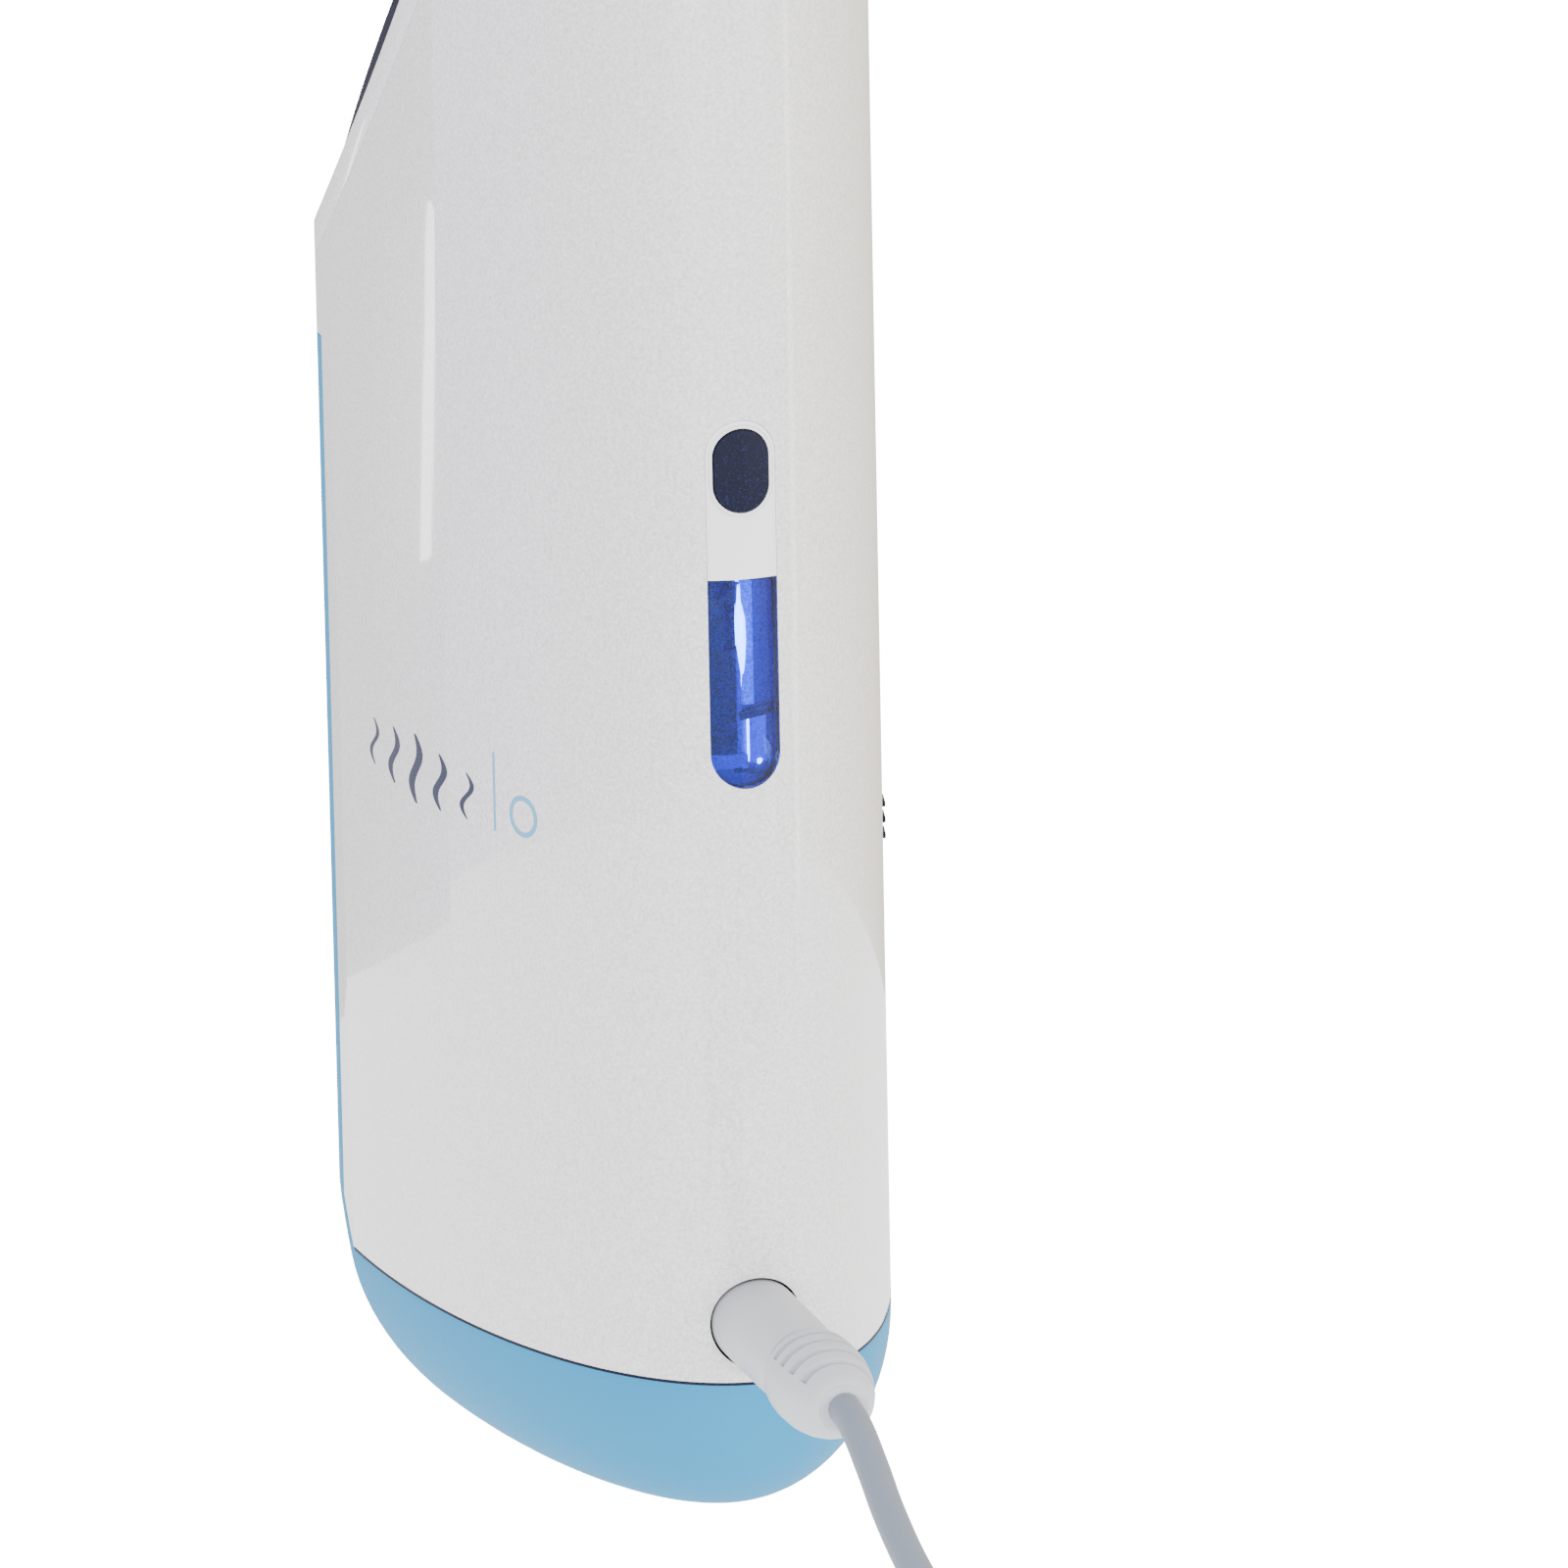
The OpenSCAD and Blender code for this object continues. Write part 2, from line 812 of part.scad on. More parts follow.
module cord_coil() {
    color("lightslategray")
    translate([coil_x, coil_y, coil_lift])
    rotate_extrude($fn = 96)
        translate([coil_r - coil_half, 0]) square([2 * coil_half, 2 * coil_half]);
}

module coil_tie() {
    color("black")
    translate([coil_x - coil_r, coil_y, 0])
    difference() {
        translate([-coil_half - 1, -2.5, 0]) cube([2 * coil_half + 2, 5, coil_top + 1]);
        translate([-coil_half - 0.2, -4, coil_lift - 0.2])
            cube([2 * coil_half + 0.4, 8, 2 * coil_half + 0.4]);
    }
}

module adaptor_relief() {
    color("dimgray")
    from_nose(adaptor_y + 8, tail_x, 14)
        polygon([[0, 0], [3.2, 0], [4.6, 8], [0, 8]]);
}

module rounded_box(w, l, h, r) {
    linear_extrude(h)
        union() {
            square([w - 2 * r, l], center = true);
            square([w, l - 2 * r], center = true);
            for (x = [r - w / 2, w / 2 - r]) for (y = [r - l / 2, l / 2 - r])
                translate([x, y]) circle(r, $fn = 32);
        }
}

module adaptor_case() {
    color("whitesmoke")
    translate([tail_x, adaptor_y - adaptor_len / 2, 0])
    difference() {
        rounded_box(adaptor_w, adaptor_len, adaptor_h, 4);
        translate([0, -case_wall, case_wall])
            rounded_box(adaptor_w - 2 * case_wall, adaptor_len, adaptor_h - 2 * case_wall, 2);
    }
}

module adaptor_cover() {
    color("gainsboro")
    translate([tail_x - adaptor_w / 2, adaptor_y - adaptor_len - cover_t, 0])
        cube([adaptor_w, cover_t - gap, adaptor_h]);
}

module adaptor_core() {
    color("darkgreen")
    translate([tail_x, adaptor_y - adaptor_len / 2 - 2, case_wall + 1])
    union() {
        translate([-17, -20, 0]) cube([34, 40, 1.6]);
        translate([-10, -10, 1]) cube([20, 18, 15]);
    }
}

module adaptor_blades() {
    color("silver")
    for (x = [-6.35, 6.35])
        translate([tail_x + x - 0.75, adaptor_y - adaptor_len - cover_t - 17, adaptor_h / 2 - 3.15])
            cube([1.5, 17, 6.3]);
}

front_shell();
back_shell();
rim_ring();
mask_collar();
scoop_tray();
mist_grille();
mist_duct();
inlay_panel();
button_ring();
power_button();
button_post();
button_board();
tact_switch();
status_led();
tank_window();
water_tank();
fill_pipe();
tank_cap();
cap_seal();
wick();
wick_holder();
boiler_stand();
heater_plate();
thermal_fuse();
boiler_body();
boiler_cone();
chassis_deck();
main_board();
board_parts();
jack_wires();
dc_jack();
jack_pin();
slider_bezel();
mist_slider();
slider_stem();
slide_switch();
feet();
screws();
plug_barrel();
plug_body();
plug_boot();
cord();
cord_coil();
coil_tie();
cord_tail();
adaptor_relief();
adaptor_case();
adaptor_cover();
adaptor_core();
adaptor_blades();
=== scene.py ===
import math

import bmesh
import bpy
from mathutils import Matrix, Vector


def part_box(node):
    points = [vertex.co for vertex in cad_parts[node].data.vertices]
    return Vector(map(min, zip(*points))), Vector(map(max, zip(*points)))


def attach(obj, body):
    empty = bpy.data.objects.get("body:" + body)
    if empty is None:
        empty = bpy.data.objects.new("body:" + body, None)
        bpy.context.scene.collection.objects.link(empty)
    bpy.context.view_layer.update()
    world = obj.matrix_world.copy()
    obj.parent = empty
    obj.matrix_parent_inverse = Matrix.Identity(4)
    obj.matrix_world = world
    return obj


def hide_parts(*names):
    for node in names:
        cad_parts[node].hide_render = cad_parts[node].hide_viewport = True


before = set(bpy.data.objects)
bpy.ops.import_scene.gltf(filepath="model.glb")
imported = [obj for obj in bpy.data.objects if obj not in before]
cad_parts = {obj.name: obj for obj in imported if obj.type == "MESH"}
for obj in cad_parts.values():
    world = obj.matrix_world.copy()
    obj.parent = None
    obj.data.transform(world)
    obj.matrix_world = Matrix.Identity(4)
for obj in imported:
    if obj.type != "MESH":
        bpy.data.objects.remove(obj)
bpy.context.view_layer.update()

bpy.ops.object.select_all(action="DESELECT")

# ---- Sizes, in metres, from the frame where a node's box gives them ----

MM = 0.001
TINY = 0.00001
half_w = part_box("front_shell")[1][0]
nose_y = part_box("front_shell")[0][1]
back_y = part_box("back_shell")[1][1]
seam_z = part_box("front_shell")[0][2] - 0.2 * MM
panel_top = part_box("back_shell")[1][2]
depth = back_y - nose_y
corner_r = 8 * MM
wide_y = back_y - corner_r
seam_y = wide_y - 2 * MM
under_z = 0.6 * MM
fillet = 22 * MM
stern_r = 60 * MM
crown_r = 24 * MM
body_h = 250 * MM
wall = 2.2 * MM
gap = 0.2 * MM
PLAN_STEPS = 256
RING_STEPS = 20

shoulder_z = 175 * MM
crown_y = nose_y + 36.5 * MM
rim_sag = 6.3 * MM
rim_w = 4.2 * MM
chord = Vector((0, crown_y - back_y, body_h - shoulder_z))
scoop_out = Vector((0, chord.z, -chord.y)).normalized()


def hollow(sag):
    """The radius and the middle of an arc between the rim's two ends, sag deep."""
    r = (chord.length / 2) ** 2 / (2 * sag) + sag / 2
    return r, Vector((0, (crown_y + back_y) / 2, (body_h + shoulder_z) / 2)) + scoop_out * (r - sag)


scoop_r, scoop_mid = hollow(rim_sag)
tray_drop = 11 * MM

strip_w = 10.4 * MM
strip_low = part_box("tank_window")[0][2] - gap
window_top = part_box("tank_window")[1][2]
strip_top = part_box("inlay_panel")[1][2] + gap
button_mid = sum(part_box("power_button")[k][2] for k in (0, 1)) / 2
button_w = 8 * MM
button_h = 12 * MM

plug_low, plug_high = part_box("plug_body")
jack_z = (plug_low[2] + plug_high[2]) / 2
plug_r = (plug_high[2] - plug_low[2]) / 2
plug_end = plug_low[1]
boot_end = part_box("plug_boot")[0][1]
boot_r = (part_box("plug_boot")[1][2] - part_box("plug_boot")[0][2]) / 2
cord_d = 4.8 * MM

slider_y = -2 * MM
flank_cos = 1 - (slider_y - nose_y) / (wide_y - nose_y)
flank_sin = math.sqrt(1 - flank_cos**2)
slider_turn = -math.atan(half_w / (wide_y - nose_y) * flank_cos / flank_sin)
slider_mid = Vector((half_w * flank_sin, slider_y, 94 * MM))

# ---- Helpers for modelling ----


def only(piece):
    """Makes the piece the active one and the only one selected."""
    bpy.ops.object.select_all(action="DESELECT")
    piece.select_set(True)
    bpy.context.view_layer.objects.active = piece
    return piece


def newest(name):
    piece = only(bpy.context.object)
    piece.name = name
    piece.data.name = name
    return piece


def edit(piece):
    only(piece)
    bpy.ops.object.mode_set(mode="EDIT")


def done():
    bpy.ops.object.mode_set(mode="OBJECT")


def pick(kind, test):
    """Selects the vertices, edges or faces that pass the test, and nothing else."""
    bpy.ops.mesh.select_all(action="DESELECT")
    bpy.ops.mesh.select_mode(type=kind)
    data = bpy.context.object.data
    mesh = bmesh.from_edit_mesh(data)
    parts = {"VERT": mesh.verts, "EDGE": mesh.edges, "FACE": mesh.faces}[kind]
    for part in parts:
        if test(part):
            part.select_set(True)
    mesh.select_flush_mode()
    bmesh.update_edit_mesh(data)


def move(x=0, y=0, z=0):
    bpy.ops.transform.translate(value=(x, y, z))


def scale(x, y, z, middle):
    bpy.ops.transform.resize(value=(x, y, z), center_override=middle)


def extrude(x=0, y=0, z=0):
    bpy.ops.mesh.extrude_region_move(TRANSFORM_OT_translate={"value": (x, y, z)})


def apply_place(piece):
    only(piece)
    bpy.ops.object.transform_apply(location=True, rotation=True, scale=True)
    return piece


def modify(piece, kind, **settings):
    """Adds a modifier with its settings and applies it."""
    modifier = piece.modifiers.new(kind.lower(), kind)
    for key, value in settings.items():
        setattr(modifier, key, value)
    only(piece)
    bpy.ops.object.modifier_apply(modifier=modifier.name)
    return piece


def cut(piece, tool, how="DIFFERENCE"):
    modify(piece, "BOOLEAN", object=tool, operation=how, solver="EXACT")
    bpy.data.objects.remove(tool)
    return piece


def soften(piece, width, steps=2, angle=40):
    """Rounds the sharp edges and smooths the rest."""
    modify(piece, "BEVEL", width=width, segments=steps, limit_method="ANGLE",
           angle_limit=math.radians(angle), miter_outer="MITER_ARC", use_clamp_overlap=True)
    return smooth(piece)


def smooth(piece, angle=32):
    only(piece)
    bpy.ops.object.shade_smooth_by_angle(angle=math.radians(angle))
    return piece


def outward():
    bpy.ops.mesh.select_all(action="SELECT")
    bpy.ops.mesh.normals_make_consistent(inside=False)


def join(pieces, name):
    only(pieces[0])
    for piece in pieces:
        piece.select_set(True)
    bpy.ops.object.join()
    return newest(name)


def plan_block(name, rings):
    """The body's plan shape, carried through rings of (height, inset)."""
    bpy.ops.mesh.primitive_circle_add(vertices=PLAN_STEPS, radius=1, fill_type="NOTHING")
    piece = newest(name)
    edit(piece)
    bpy.ops.mesh.select_all(action="SELECT")
    scale(half_w, wide_y - nose_y, 1, (0, 0, 0))
    move(y=wide_y)
    pick("VERT", lambda v: v.co.y > wide_y + TINY)
    bpy.ops.mesh.delete(type="VERT")
    pick("VERT", lambda v: v.co.y > wide_y - TINY)
    bpy.ops.mesh.extrude_vertices_move(TRANSFORM_OT_translate={"value": (0, corner_r, 0)})
    bpy.ops.mesh.edge_face_add()
    bpy.ops.mesh.select_all(action="SELECT")
    bpy.ops.mesh.edge_face_add()
    pick("VERT", lambda v: v.co.y > back_y - TINY)
    bpy.ops.mesh.bevel(offset=corner_r - TINY, segments=10, affect="VERTICES")
    bpy.ops.mesh.select_all(action="SELECT")
    bpy.ops.mesh.remove_doubles(threshold=2 * TINY)
    height, inset = rings[0]
    scale(1 - inset / half_w, 1 - 2 * inset / depth, 1, (0, 0, 0))
    move(z=height)
    pick("FACE", lambda f: True)
    for next_height, next_inset in rings[1:]:
        extrude(z=next_height - height)
        scale((half_w - next_inset) / (half_w - inset), (depth - 2 * next_inset) / (depth - 2 * inset), 1,
              (0, 0, next_height))
        height, inset = next_height, next_inset
    outward()
    done()
    return piece


def crown_rings(inset):
    rings = []
    for step in range(RING_STEPS + 1):
        turn = math.radians(82) * step / RING_STEPS
        r = crown_r - inset
        rings.append((body_h - crown_r + r * math.sin(turn), inset + r * (1 - math.cos(turn))))
    return rings


def tall_block(name, inset, low):
    return plan_block(name, [(low, inset)] + crown_rings(inset))


def base_rings(inset):
    rings = []
    for step in range(RING_STEPS + 1):
        turn = math.radians(90) * (1 - step / RING_STEPS)
        r = fillet - inset
        rings.append((under_z + fillet - r * math.sin(turn), inset + r * (1 - math.cos(turn))))
    return rings


def box(name, low, high):
    bpy.ops.mesh.primitive_cube_add(size=1)
    piece = newest(name)
    low, high = Vector(low), Vector(high)
    piece.scale = high - low
    piece.location = (low + high) / 2
    return apply_place(piece)


def rod(name, r, length, middle, turn=(0, 0, 0), sides=64):
    bpy.ops.mesh.primitive_cylinder_add(vertices=sides, radius=r, depth=length,
                                        location=middle, rotation=turn)
    return apply_place(newest(name))


def turned(name, rings, sides=96, middle=(0, 0, 0), turn=(0, 0, 0)):
    """A turned shape: rings of (distance, radius), closed at both ends."""
    bpy.ops.mesh.primitive_circle_add(vertices=sides, radius=rings[0][1], fill_type="NGON")
    piece = newest(name)
    edit(piece)
    bpy.ops.mesh.select_all(action="SELECT")
    at, r = rings[0]
    move(z=at)
    pick("FACE", lambda f: True)
    for next_at, next_r in rings[1:]:
        extrude(z=next_at - at)
        scale(next_r / r, next_r / r, 1, (0, 0, next_at))
        at, r = next_at, next_r
    outward()
    done()
    piece.rotation_euler = turn
    piece.location = middle
    return apply_place(piece)


def in_metres(rings):
    return [(distance * MM, r * MM) for distance, r in rings]


def pill(name, width, height, low, high):
    """A pill-shaped bar along Y about the origin, its ends round in XZ."""
    piece = rod(name, width / 2, high - low, (0, (low + high) / 2, 0), (math.radians(90), 0, 0), 72)
    edit(piece)
    pick("VERT", lambda v: v.co.z > TINY)
    move(z=height / 2 - width / 2)
    pick("VERT", lambda v: v.co.z < TINY)
    move(z=width / 2 - height / 2)
    done()
    return piece


def shift(piece, x=0, y=0, z=0):
    piece.location = (x, y, z)
    return apply_place(piece)


def scoop(grow):
    return rod("scoop", scoop_r + grow, 0.13, scoop_mid, (0, math.radians(90), 0), 360)


def stern(inset):
    """All that lies ahead of and above the round rear lower edge."""
    piece = box("stern", (-0.08, nose_y - 0.02, under_z + inset), (0.08, back_y - inset, body_h + 0.02))
    edit(piece)
    pick("EDGE", lambda e: all(v.co.y > 0.03 and v.co.z < 0.03 for v in e.verts))
    bpy.ops.mesh.bevel(offset=stern_r - inset, segments=48, affect="EDGES")
    done()
    return piece


def behind_arc(inset):
    """What lies behind the round rear lower edge when it is moved inwards."""
    waste = box("waste", (-0.1, seam_y - 12 * MM, -1 * MM), (0.1, 0.1, 50 * MM))
    return cut(waste, stern(inset))


def to_flank(piece):
    """Carries a piece from about the origin, +Y outwards, to the right flank."""
    piece.rotation_euler = (0, 0, slider_turn - math.radians(90))
    piece.location = slider_mid
    return apply_place(piece)


# ---- Materials ----


def tone(red, green, blue):
    """A display colour of 0 to 255 as linear light."""
    return tuple(((c / 255 + 0.055) / 1.055) ** 2.4 for c in (red, green, blue)) + (1,)


class Value:
    """A socket on which arithmetic adds Math nodes."""

    def __init__(self, finish, socket):
        self.finish = finish
        self.socket = socket

    def math(self, operation, first, second):
        return self.finish.add("ShaderNodeMath", {"operation": operation}, {0: first, 1: second})

    def __add__(self, other):
        return self.math("ADD", self, other)

    def __mul__(self, other):
        return self.math("MULTIPLY", self, other)

    def __lt__(self, other):
        return self.math("LESS_THAN", self, other)

    def __gt__(self, other):
        return self.math("GREATER_THAN", self, other)


class Finish:
    """A material for one finish, with its shader and the nodes that drive it."""

    def __init__(self, name, **sockets):
        self.material = bpy.data.materials.new(name)
        self.material.use_nodes = True
        self.tree = self.material.node_tree
        self.tree.nodes.clear()
        self.shader = self.tree.nodes.new("ShaderNodeBsdfPrincipled")
        output = self.tree.nodes.new("ShaderNodeOutputMaterial")
        self.tree.links.new(self.shader.outputs[0], output.inputs[0])
        self.place = self.add("ShaderNodeTexCoord", {}, {}, "Object")
        self.set(**sockets)

    def plug(self, socket, value):
        if isinstance(value, Value):
            self.tree.links.new(value.socket, socket)
        else:
            socket.default_value = value

    def set(self, **sockets):
        for key, value in sockets.items():
            self.plug(self.shader.inputs[key.replace("_", " ").title().replace("Ior", "IOR")], value)

    def add(self, kind, settings, inputs, output=0):
        node = self.tree.nodes.new(kind)
        for key, value in settings.items():
            setattr(node, key, value)
        for key, value in inputs.items():
            self.plug(node.inputs[key], value)
        return Value(self, node.outputs[output])

    def axis(self, letter):
        return self.add("ShaderNodeSeparateXYZ", {}, {0: self.place}, letter)

    def noise(self, size, detail=2.0, rough=0.5, stretch=None):
        place = self.place
        if stretch:
            place = self.add("ShaderNodeMapping", {}, {"Vector": place, "Scale": stretch})
        return self.add("ShaderNodeTexNoise", {},
                        {"Vector": place, "Scale": 1 / size, "Detail": detail, "Roughness": rough}, "Fac")

    def cells(self, size, output="Distance"):
        return self.add("ShaderNodeTexVoronoi", {}, {"Vector": self.place, "Scale": 1 / size}, output)

    def ramp(self, value, low, high, to_low=0.0, to_high=1.0):
        return self.add("ShaderNodeMapRange", {"clamp": True},
                        {0: value, 1: low, 2: high, 3: to_low, 4: to_high})

    def mix(self, factor, first, second):
        return self.add("ShaderNodeMix", {"data_type": "RGBA"}, {0: factor, 6: first, 7: second}, 2)

    def bump(self, height, strength, distance):
        self.set(normal=self.add("ShaderNodeBump", {},
                                 {"Height": height, "Strength": strength, "Distance": distance}))


def shade(colour, amount):
    return tuple(min(1, c * amount) for c in colour[:3]) + (1,)


def grained(name, colour, rough, size=0.4 * MM, contrast=0.06, relief=0.02, **sockets):
    """A moulded finish: fine grain in its colour, gloss and surface, and broad soft variation."""
    finish = Finish(name, **sockets)
    grain = finish.noise(size, 2)
    broad = finish.noise(45 * MM, 1)
    fine = finish.mix(grain, shade(colour, 1 - contrast), shade(colour, 1 + contrast))
    finish.set(base_color=finish.mix(broad * 0.5, fine, shade(colour, 0.95)),
               roughness=finish.ramp(grain, 0.3, 0.7, rough * 0.88, min(1, rough * 1.12)))
    finish.bump(grain, 0.35, relief * MM)
    return finish


def gloss_white():
    """Glossy white shell with grain and rare specks; its colour is painted light, cool towards the left and
    warm towards the right.
    """
    finish = Finish("gloss_white", coat_weight=0.8, coat_roughness=0.04, coat_ior=1.6,
                    specular_ior_level=0.5)
    grain = finish.noise(0.55 * MM, 2, 0.7)
    # Painted light: cool white on the left to warm white on the right, as a warm lamp on the right would
    # give.
    across = finish.ramp(finish.axis("X"), -half_w, half_w)
    body = finish.mix(across, tone(228, 228, 236), tone(232, 227, 216))
    grainy = finish.mix(finish.ramp(grain, 0.3, 0.7), shade(tone(226, 226, 230), 0.7), body)
    speck = finish.cells(24 * MM) < 0.011
    finish.set(base_color=finish.mix(speck, grainy, tone(70, 66, 64)),
               roughness=finish.ramp(grain, 0.3, 0.7, 0.2, 0.3))
    finish.bump(finish.noise(9 * MM, 1) + grain * 0.05, 0.06, 0.1 * MM)
    return finish.material


def navy_speckle():
    """Matte navy rubber with fine pale specks."""
    finish = Finish("navy_speckle", specular_ior_level=0.2)
    grain = finish.noise(0.3 * MM, 2, 0.8)
    specks = finish.ramp(grain, 0.56, 0.72)
    finish.set(base_color=finish.mix(specks, tone(6, 10, 34), tone(30, 42, 88)),
               roughness=finish.ramp(grain, 0.3, 0.7, 0.5, 0.7))
    finish.bump(grain, 0.4, 0.03 * MM)
    return finish.material


def brushed(name, colour, rough):
    """Drawn metal with streaks round its axis."""
    finish = Finish(name, metallic=1.0)
    streaks = finish.noise(6 * MM, 3, 0.6, (1, 1, 40))
    finish.set(base_color=finish.mix(streaks, shade(colour, 0.85), colour),
               roughness=finish.ramp(streaks, 0.3, 0.7, rough * 0.7, rough * 1.3))
    finish.bump(streaks, 0.2, 0.02 * MM)
    return finish.material


def clear_blue():
    """Clear plastic of the window, tinted blue."""
    finish = Finish("clear_blue", transmission_weight=1.0, ior=1.3, coat_weight=0.6, coat_roughness=0.03)
    grain = finish.noise(0.5 * MM, 2, 0.7)
    finish.set(base_color=finish.mix(grain, tone(74, 124, 245), tone(104, 152, 252)),
               roughness=finish.ramp(grain, 0.3, 0.7, 0.0, 0.03))
    return finish.material


def clear_tank():
    finish = Finish("clear_tank", transmission_weight=0.9, ior=1.15)
    haze = finish.noise(14 * MM, 2)
    finish.set(base_color=finish.mix(haze, tone(214, 230, 242), tone(240, 247, 252)),
               roughness=finish.ramp(haze, 0.3, 0.7, 0.04, 0.12))
    return finish.material


def painted_glow_finish(name, colour, dark, strength, size=0.4 * MM):
    """Painted light behind the window: plastic that glows though it is no lamp, standing in for the light,
    shade and reflections seen in the tank.
    """
    finish = Finish(name, emission_strength=strength)
    grain = finish.noise(size, 2, 0.8)
    look = finish.mix(finish.ramp(grain, 0.42, 0.62), dark, colour)
    finish.set(base_color=look, emission_color=look, roughness=finish.ramp(grain, 0.3, 0.7, 0.2, 0.4))
    return finish.material


def circuit_green():
    """Solder mask with lighter copper tracks under it."""
    finish = Finish("circuit_green")
    across = finish.noise(2.2 * MM, 0, 0.5, (1, 0.15, 1))
    track = (across > 0.56) * 0.8
    finish.set(base_color=finish.mix(track, tone(18, 82, 48), tone(40, 120, 74)),
               roughness=finish.ramp(finish.noise(0.6 * MM), 0.3, 0.7, 0.28, 0.42))
    finish.bump(track, 0.5, 0.04 * MM)
    return finish.material


def fibre():
    finish = Finish("wick_fibre", specular_ior_level=0.2)
    strands = finish.noise(0.5 * MM, 3, 0.7, (1, 0.12, 1))
    finish.set(base_color=finish.mix(strands, tone(196, 186, 166), tone(240, 233, 218)),
               roughness=finish.ramp(strands, 0.3, 0.7, 0.8, 1.0))
    finish.bump(strands, 0.8, 0.15 * MM)
    return finish.material


LOOKS = {
    "white": gloss_white(),
    "satin": grained("satin_white", tone(228, 228, 231), 0.34, 0.5 * MM, 0.035, coat_weight=0.1).material,
    "blue": grained("matte_blue", tone(18, 128, 176), 0.6, 0.45 * MM, 0.1, 0.05,
                    specular_ior_level=0.3).material,
    "navy": navy_speckle(),
    "window": clear_blue(),
    # Painted light seen through the window: each of these looks glows though it is no lamp.
    "painted_glow_deep_blue": painted_glow_finish("painted_glow_deep_blue", tone(3, 46, 172), tone(1, 28, 138), 0.35),
    # Painted shade: a dark, barely glowing blue for the shaded parts seen in the tank.
    "painted_shade_blue": painted_glow_finish("painted_shade_blue", tone(10, 34, 112), tone(0, 3, 30), 0.05),
    "painted_glow_bright_blue": painted_glow_finish("painted_glow_bright_blue", tone(8, 72, 206), tone(3, 46, 172), 0.4),
    "painted_glow_light_blue": painted_glow_finish("painted_glow_light_blue", tone(40, 112, 236), tone(10, 66, 208), 0.5),
    "painted_glow_speckle_blue": painted_glow_finish("painted_glow_speckle_blue", tone(160, 198, 250), tone(24, 84, 220), 1.0),
    # Painted highlight: a strong white glow for the glints on the tank.
    "painted_glint": painted_glow_finish("painted_glint", tone(255, 255, 255), tone(226, 238, 255), 14),
    "tank": clear_tank(),
    "grey": grained("plug_grey", tone(186, 188, 194), 0.42, 0.4 * MM, 0.05).material,
    "cord": grained("cord_grey", tone(118, 126, 140), 0.5, 0.5 * MM, 0.08, 0.04).material,
    "dark": grained("dark_plastic", tone(48, 49, 53), 0.55, 0.4 * MM, 0.15, 0.04).material,
    "mid": grained("grey_plastic", tone(178, 180, 182), 0.5, 0.4 * MM, 0.06).material,
    "rubber": grained("dark_rubber", tone(72, 80, 90), 0.8, 0.35 * MM, 0.2, 0.06).material,
    "red": grained("fuse_red", tone(170, 44, 36), 0.45, 0.4 * MM, 0.1).material,
    "ceramic": grained("heater_ceramic", tone(214, 204, 184), 0.75, 0.3 * MM, 0.12, 0.05).material,
    "led": grained("led_lens", tone(238, 236, 200), 0.15, 0.5 * MM, 0.04).material,
    "print_navy": grained("print_navy", tone(26, 34, 66), 0.4, 0.3 * MM, 0.12, 0.01).material,
    "print_blue": grained("print_blue", tone(96, 158, 196), 0.4, 0.3 * MM, 0.08, 0.01).material,
    "steel": brushed("brushed_steel", tone(206, 207, 210), 0.3),
    "board": circuit_green(),
    "wick": fibre(),
}


def finish_piece(piece, body, slot, look, *nodes):
    """Gives a piece its look, its body and the nodes that it stands for; the slot is not used."""
    piece.data.materials.clear()
    piece.data.materials.append(LOOKS[look])
    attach(piece, body)
    if nodes:
        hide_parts(*nodes)
    return piece


NODE_LOOKS = {
    "satin": ["scoop_tray", "mist_grille", "boiler_cone"],
    "dark": ["button_post", "tact_switch", "boiler_stand", "board_parts", "dc_jack", "slider_stem"],
    "rubber": ["cap_seal"],
    "board": ["button_board", "main_board", "adaptor_core"],
    "tank": ["water_tank", "fill_pipe"],
    "led": ["status_led"],
    "wick": ["wick"],
    "steel": ["wick_holder", "boiler_body", "jack_pin", "slide_switch", "plug_barrel", "screws"],
    "ceramic": ["heater_plate"],
    "red": ["thermal_fuse", "jack_wires"],
    "mid": ["chassis_deck"],
}
for look, names in NODE_LOOKS.items():
    for name in names:
        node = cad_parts[name]
        node.data.materials.clear()
        node.data.materials.append(LOOKS[look])

# ---- Camera, light and floor ----


def camera():
    turn, tilt, roll = (math.radians(a) for a in (-15.19, 13.92, 1.1))
    aim = Vector((5.37, -52.5, 113.1)) * MM
    back = Vector((math.sin(turn) * math.cos(tilt), -math.cos(turn) * math.cos(tilt), math.sin(tilt)))
    bpy.ops.object.camera_add(location=aim + back * 2.15)
    eye = bpy.context.object
    facing = (-back).to_track_quat("-Z", "Y").to_matrix().to_4x4()
    eye.rotation_euler = (facing @ Matrix.Rotation(-roll, 4, "Z")).to_euler()
    eye.data.lens = 343.6
    eye.data.sensor_width = 36
    eye.data.clip_end = 60
    bpy.context.scene.camera = eye


def softbox(place, size, power, colour=(1, 1, 1), target=(0, 0, 0.12)):
    bpy.ops.object.light_add(type="AREA", location=place)
    lamp = bpy.context.object
    lamp.rotation_euler = (Vector(target) - Vector(place)).to_track_quat("-Z", "Y").to_euler()
    lamp.data.shape = "RECTANGLE"
    lamp.data.size, lamp.data.size_y = size
    lamp.data.energy = power
    lamp.data.color = colour


SURROUND_R = 0.26


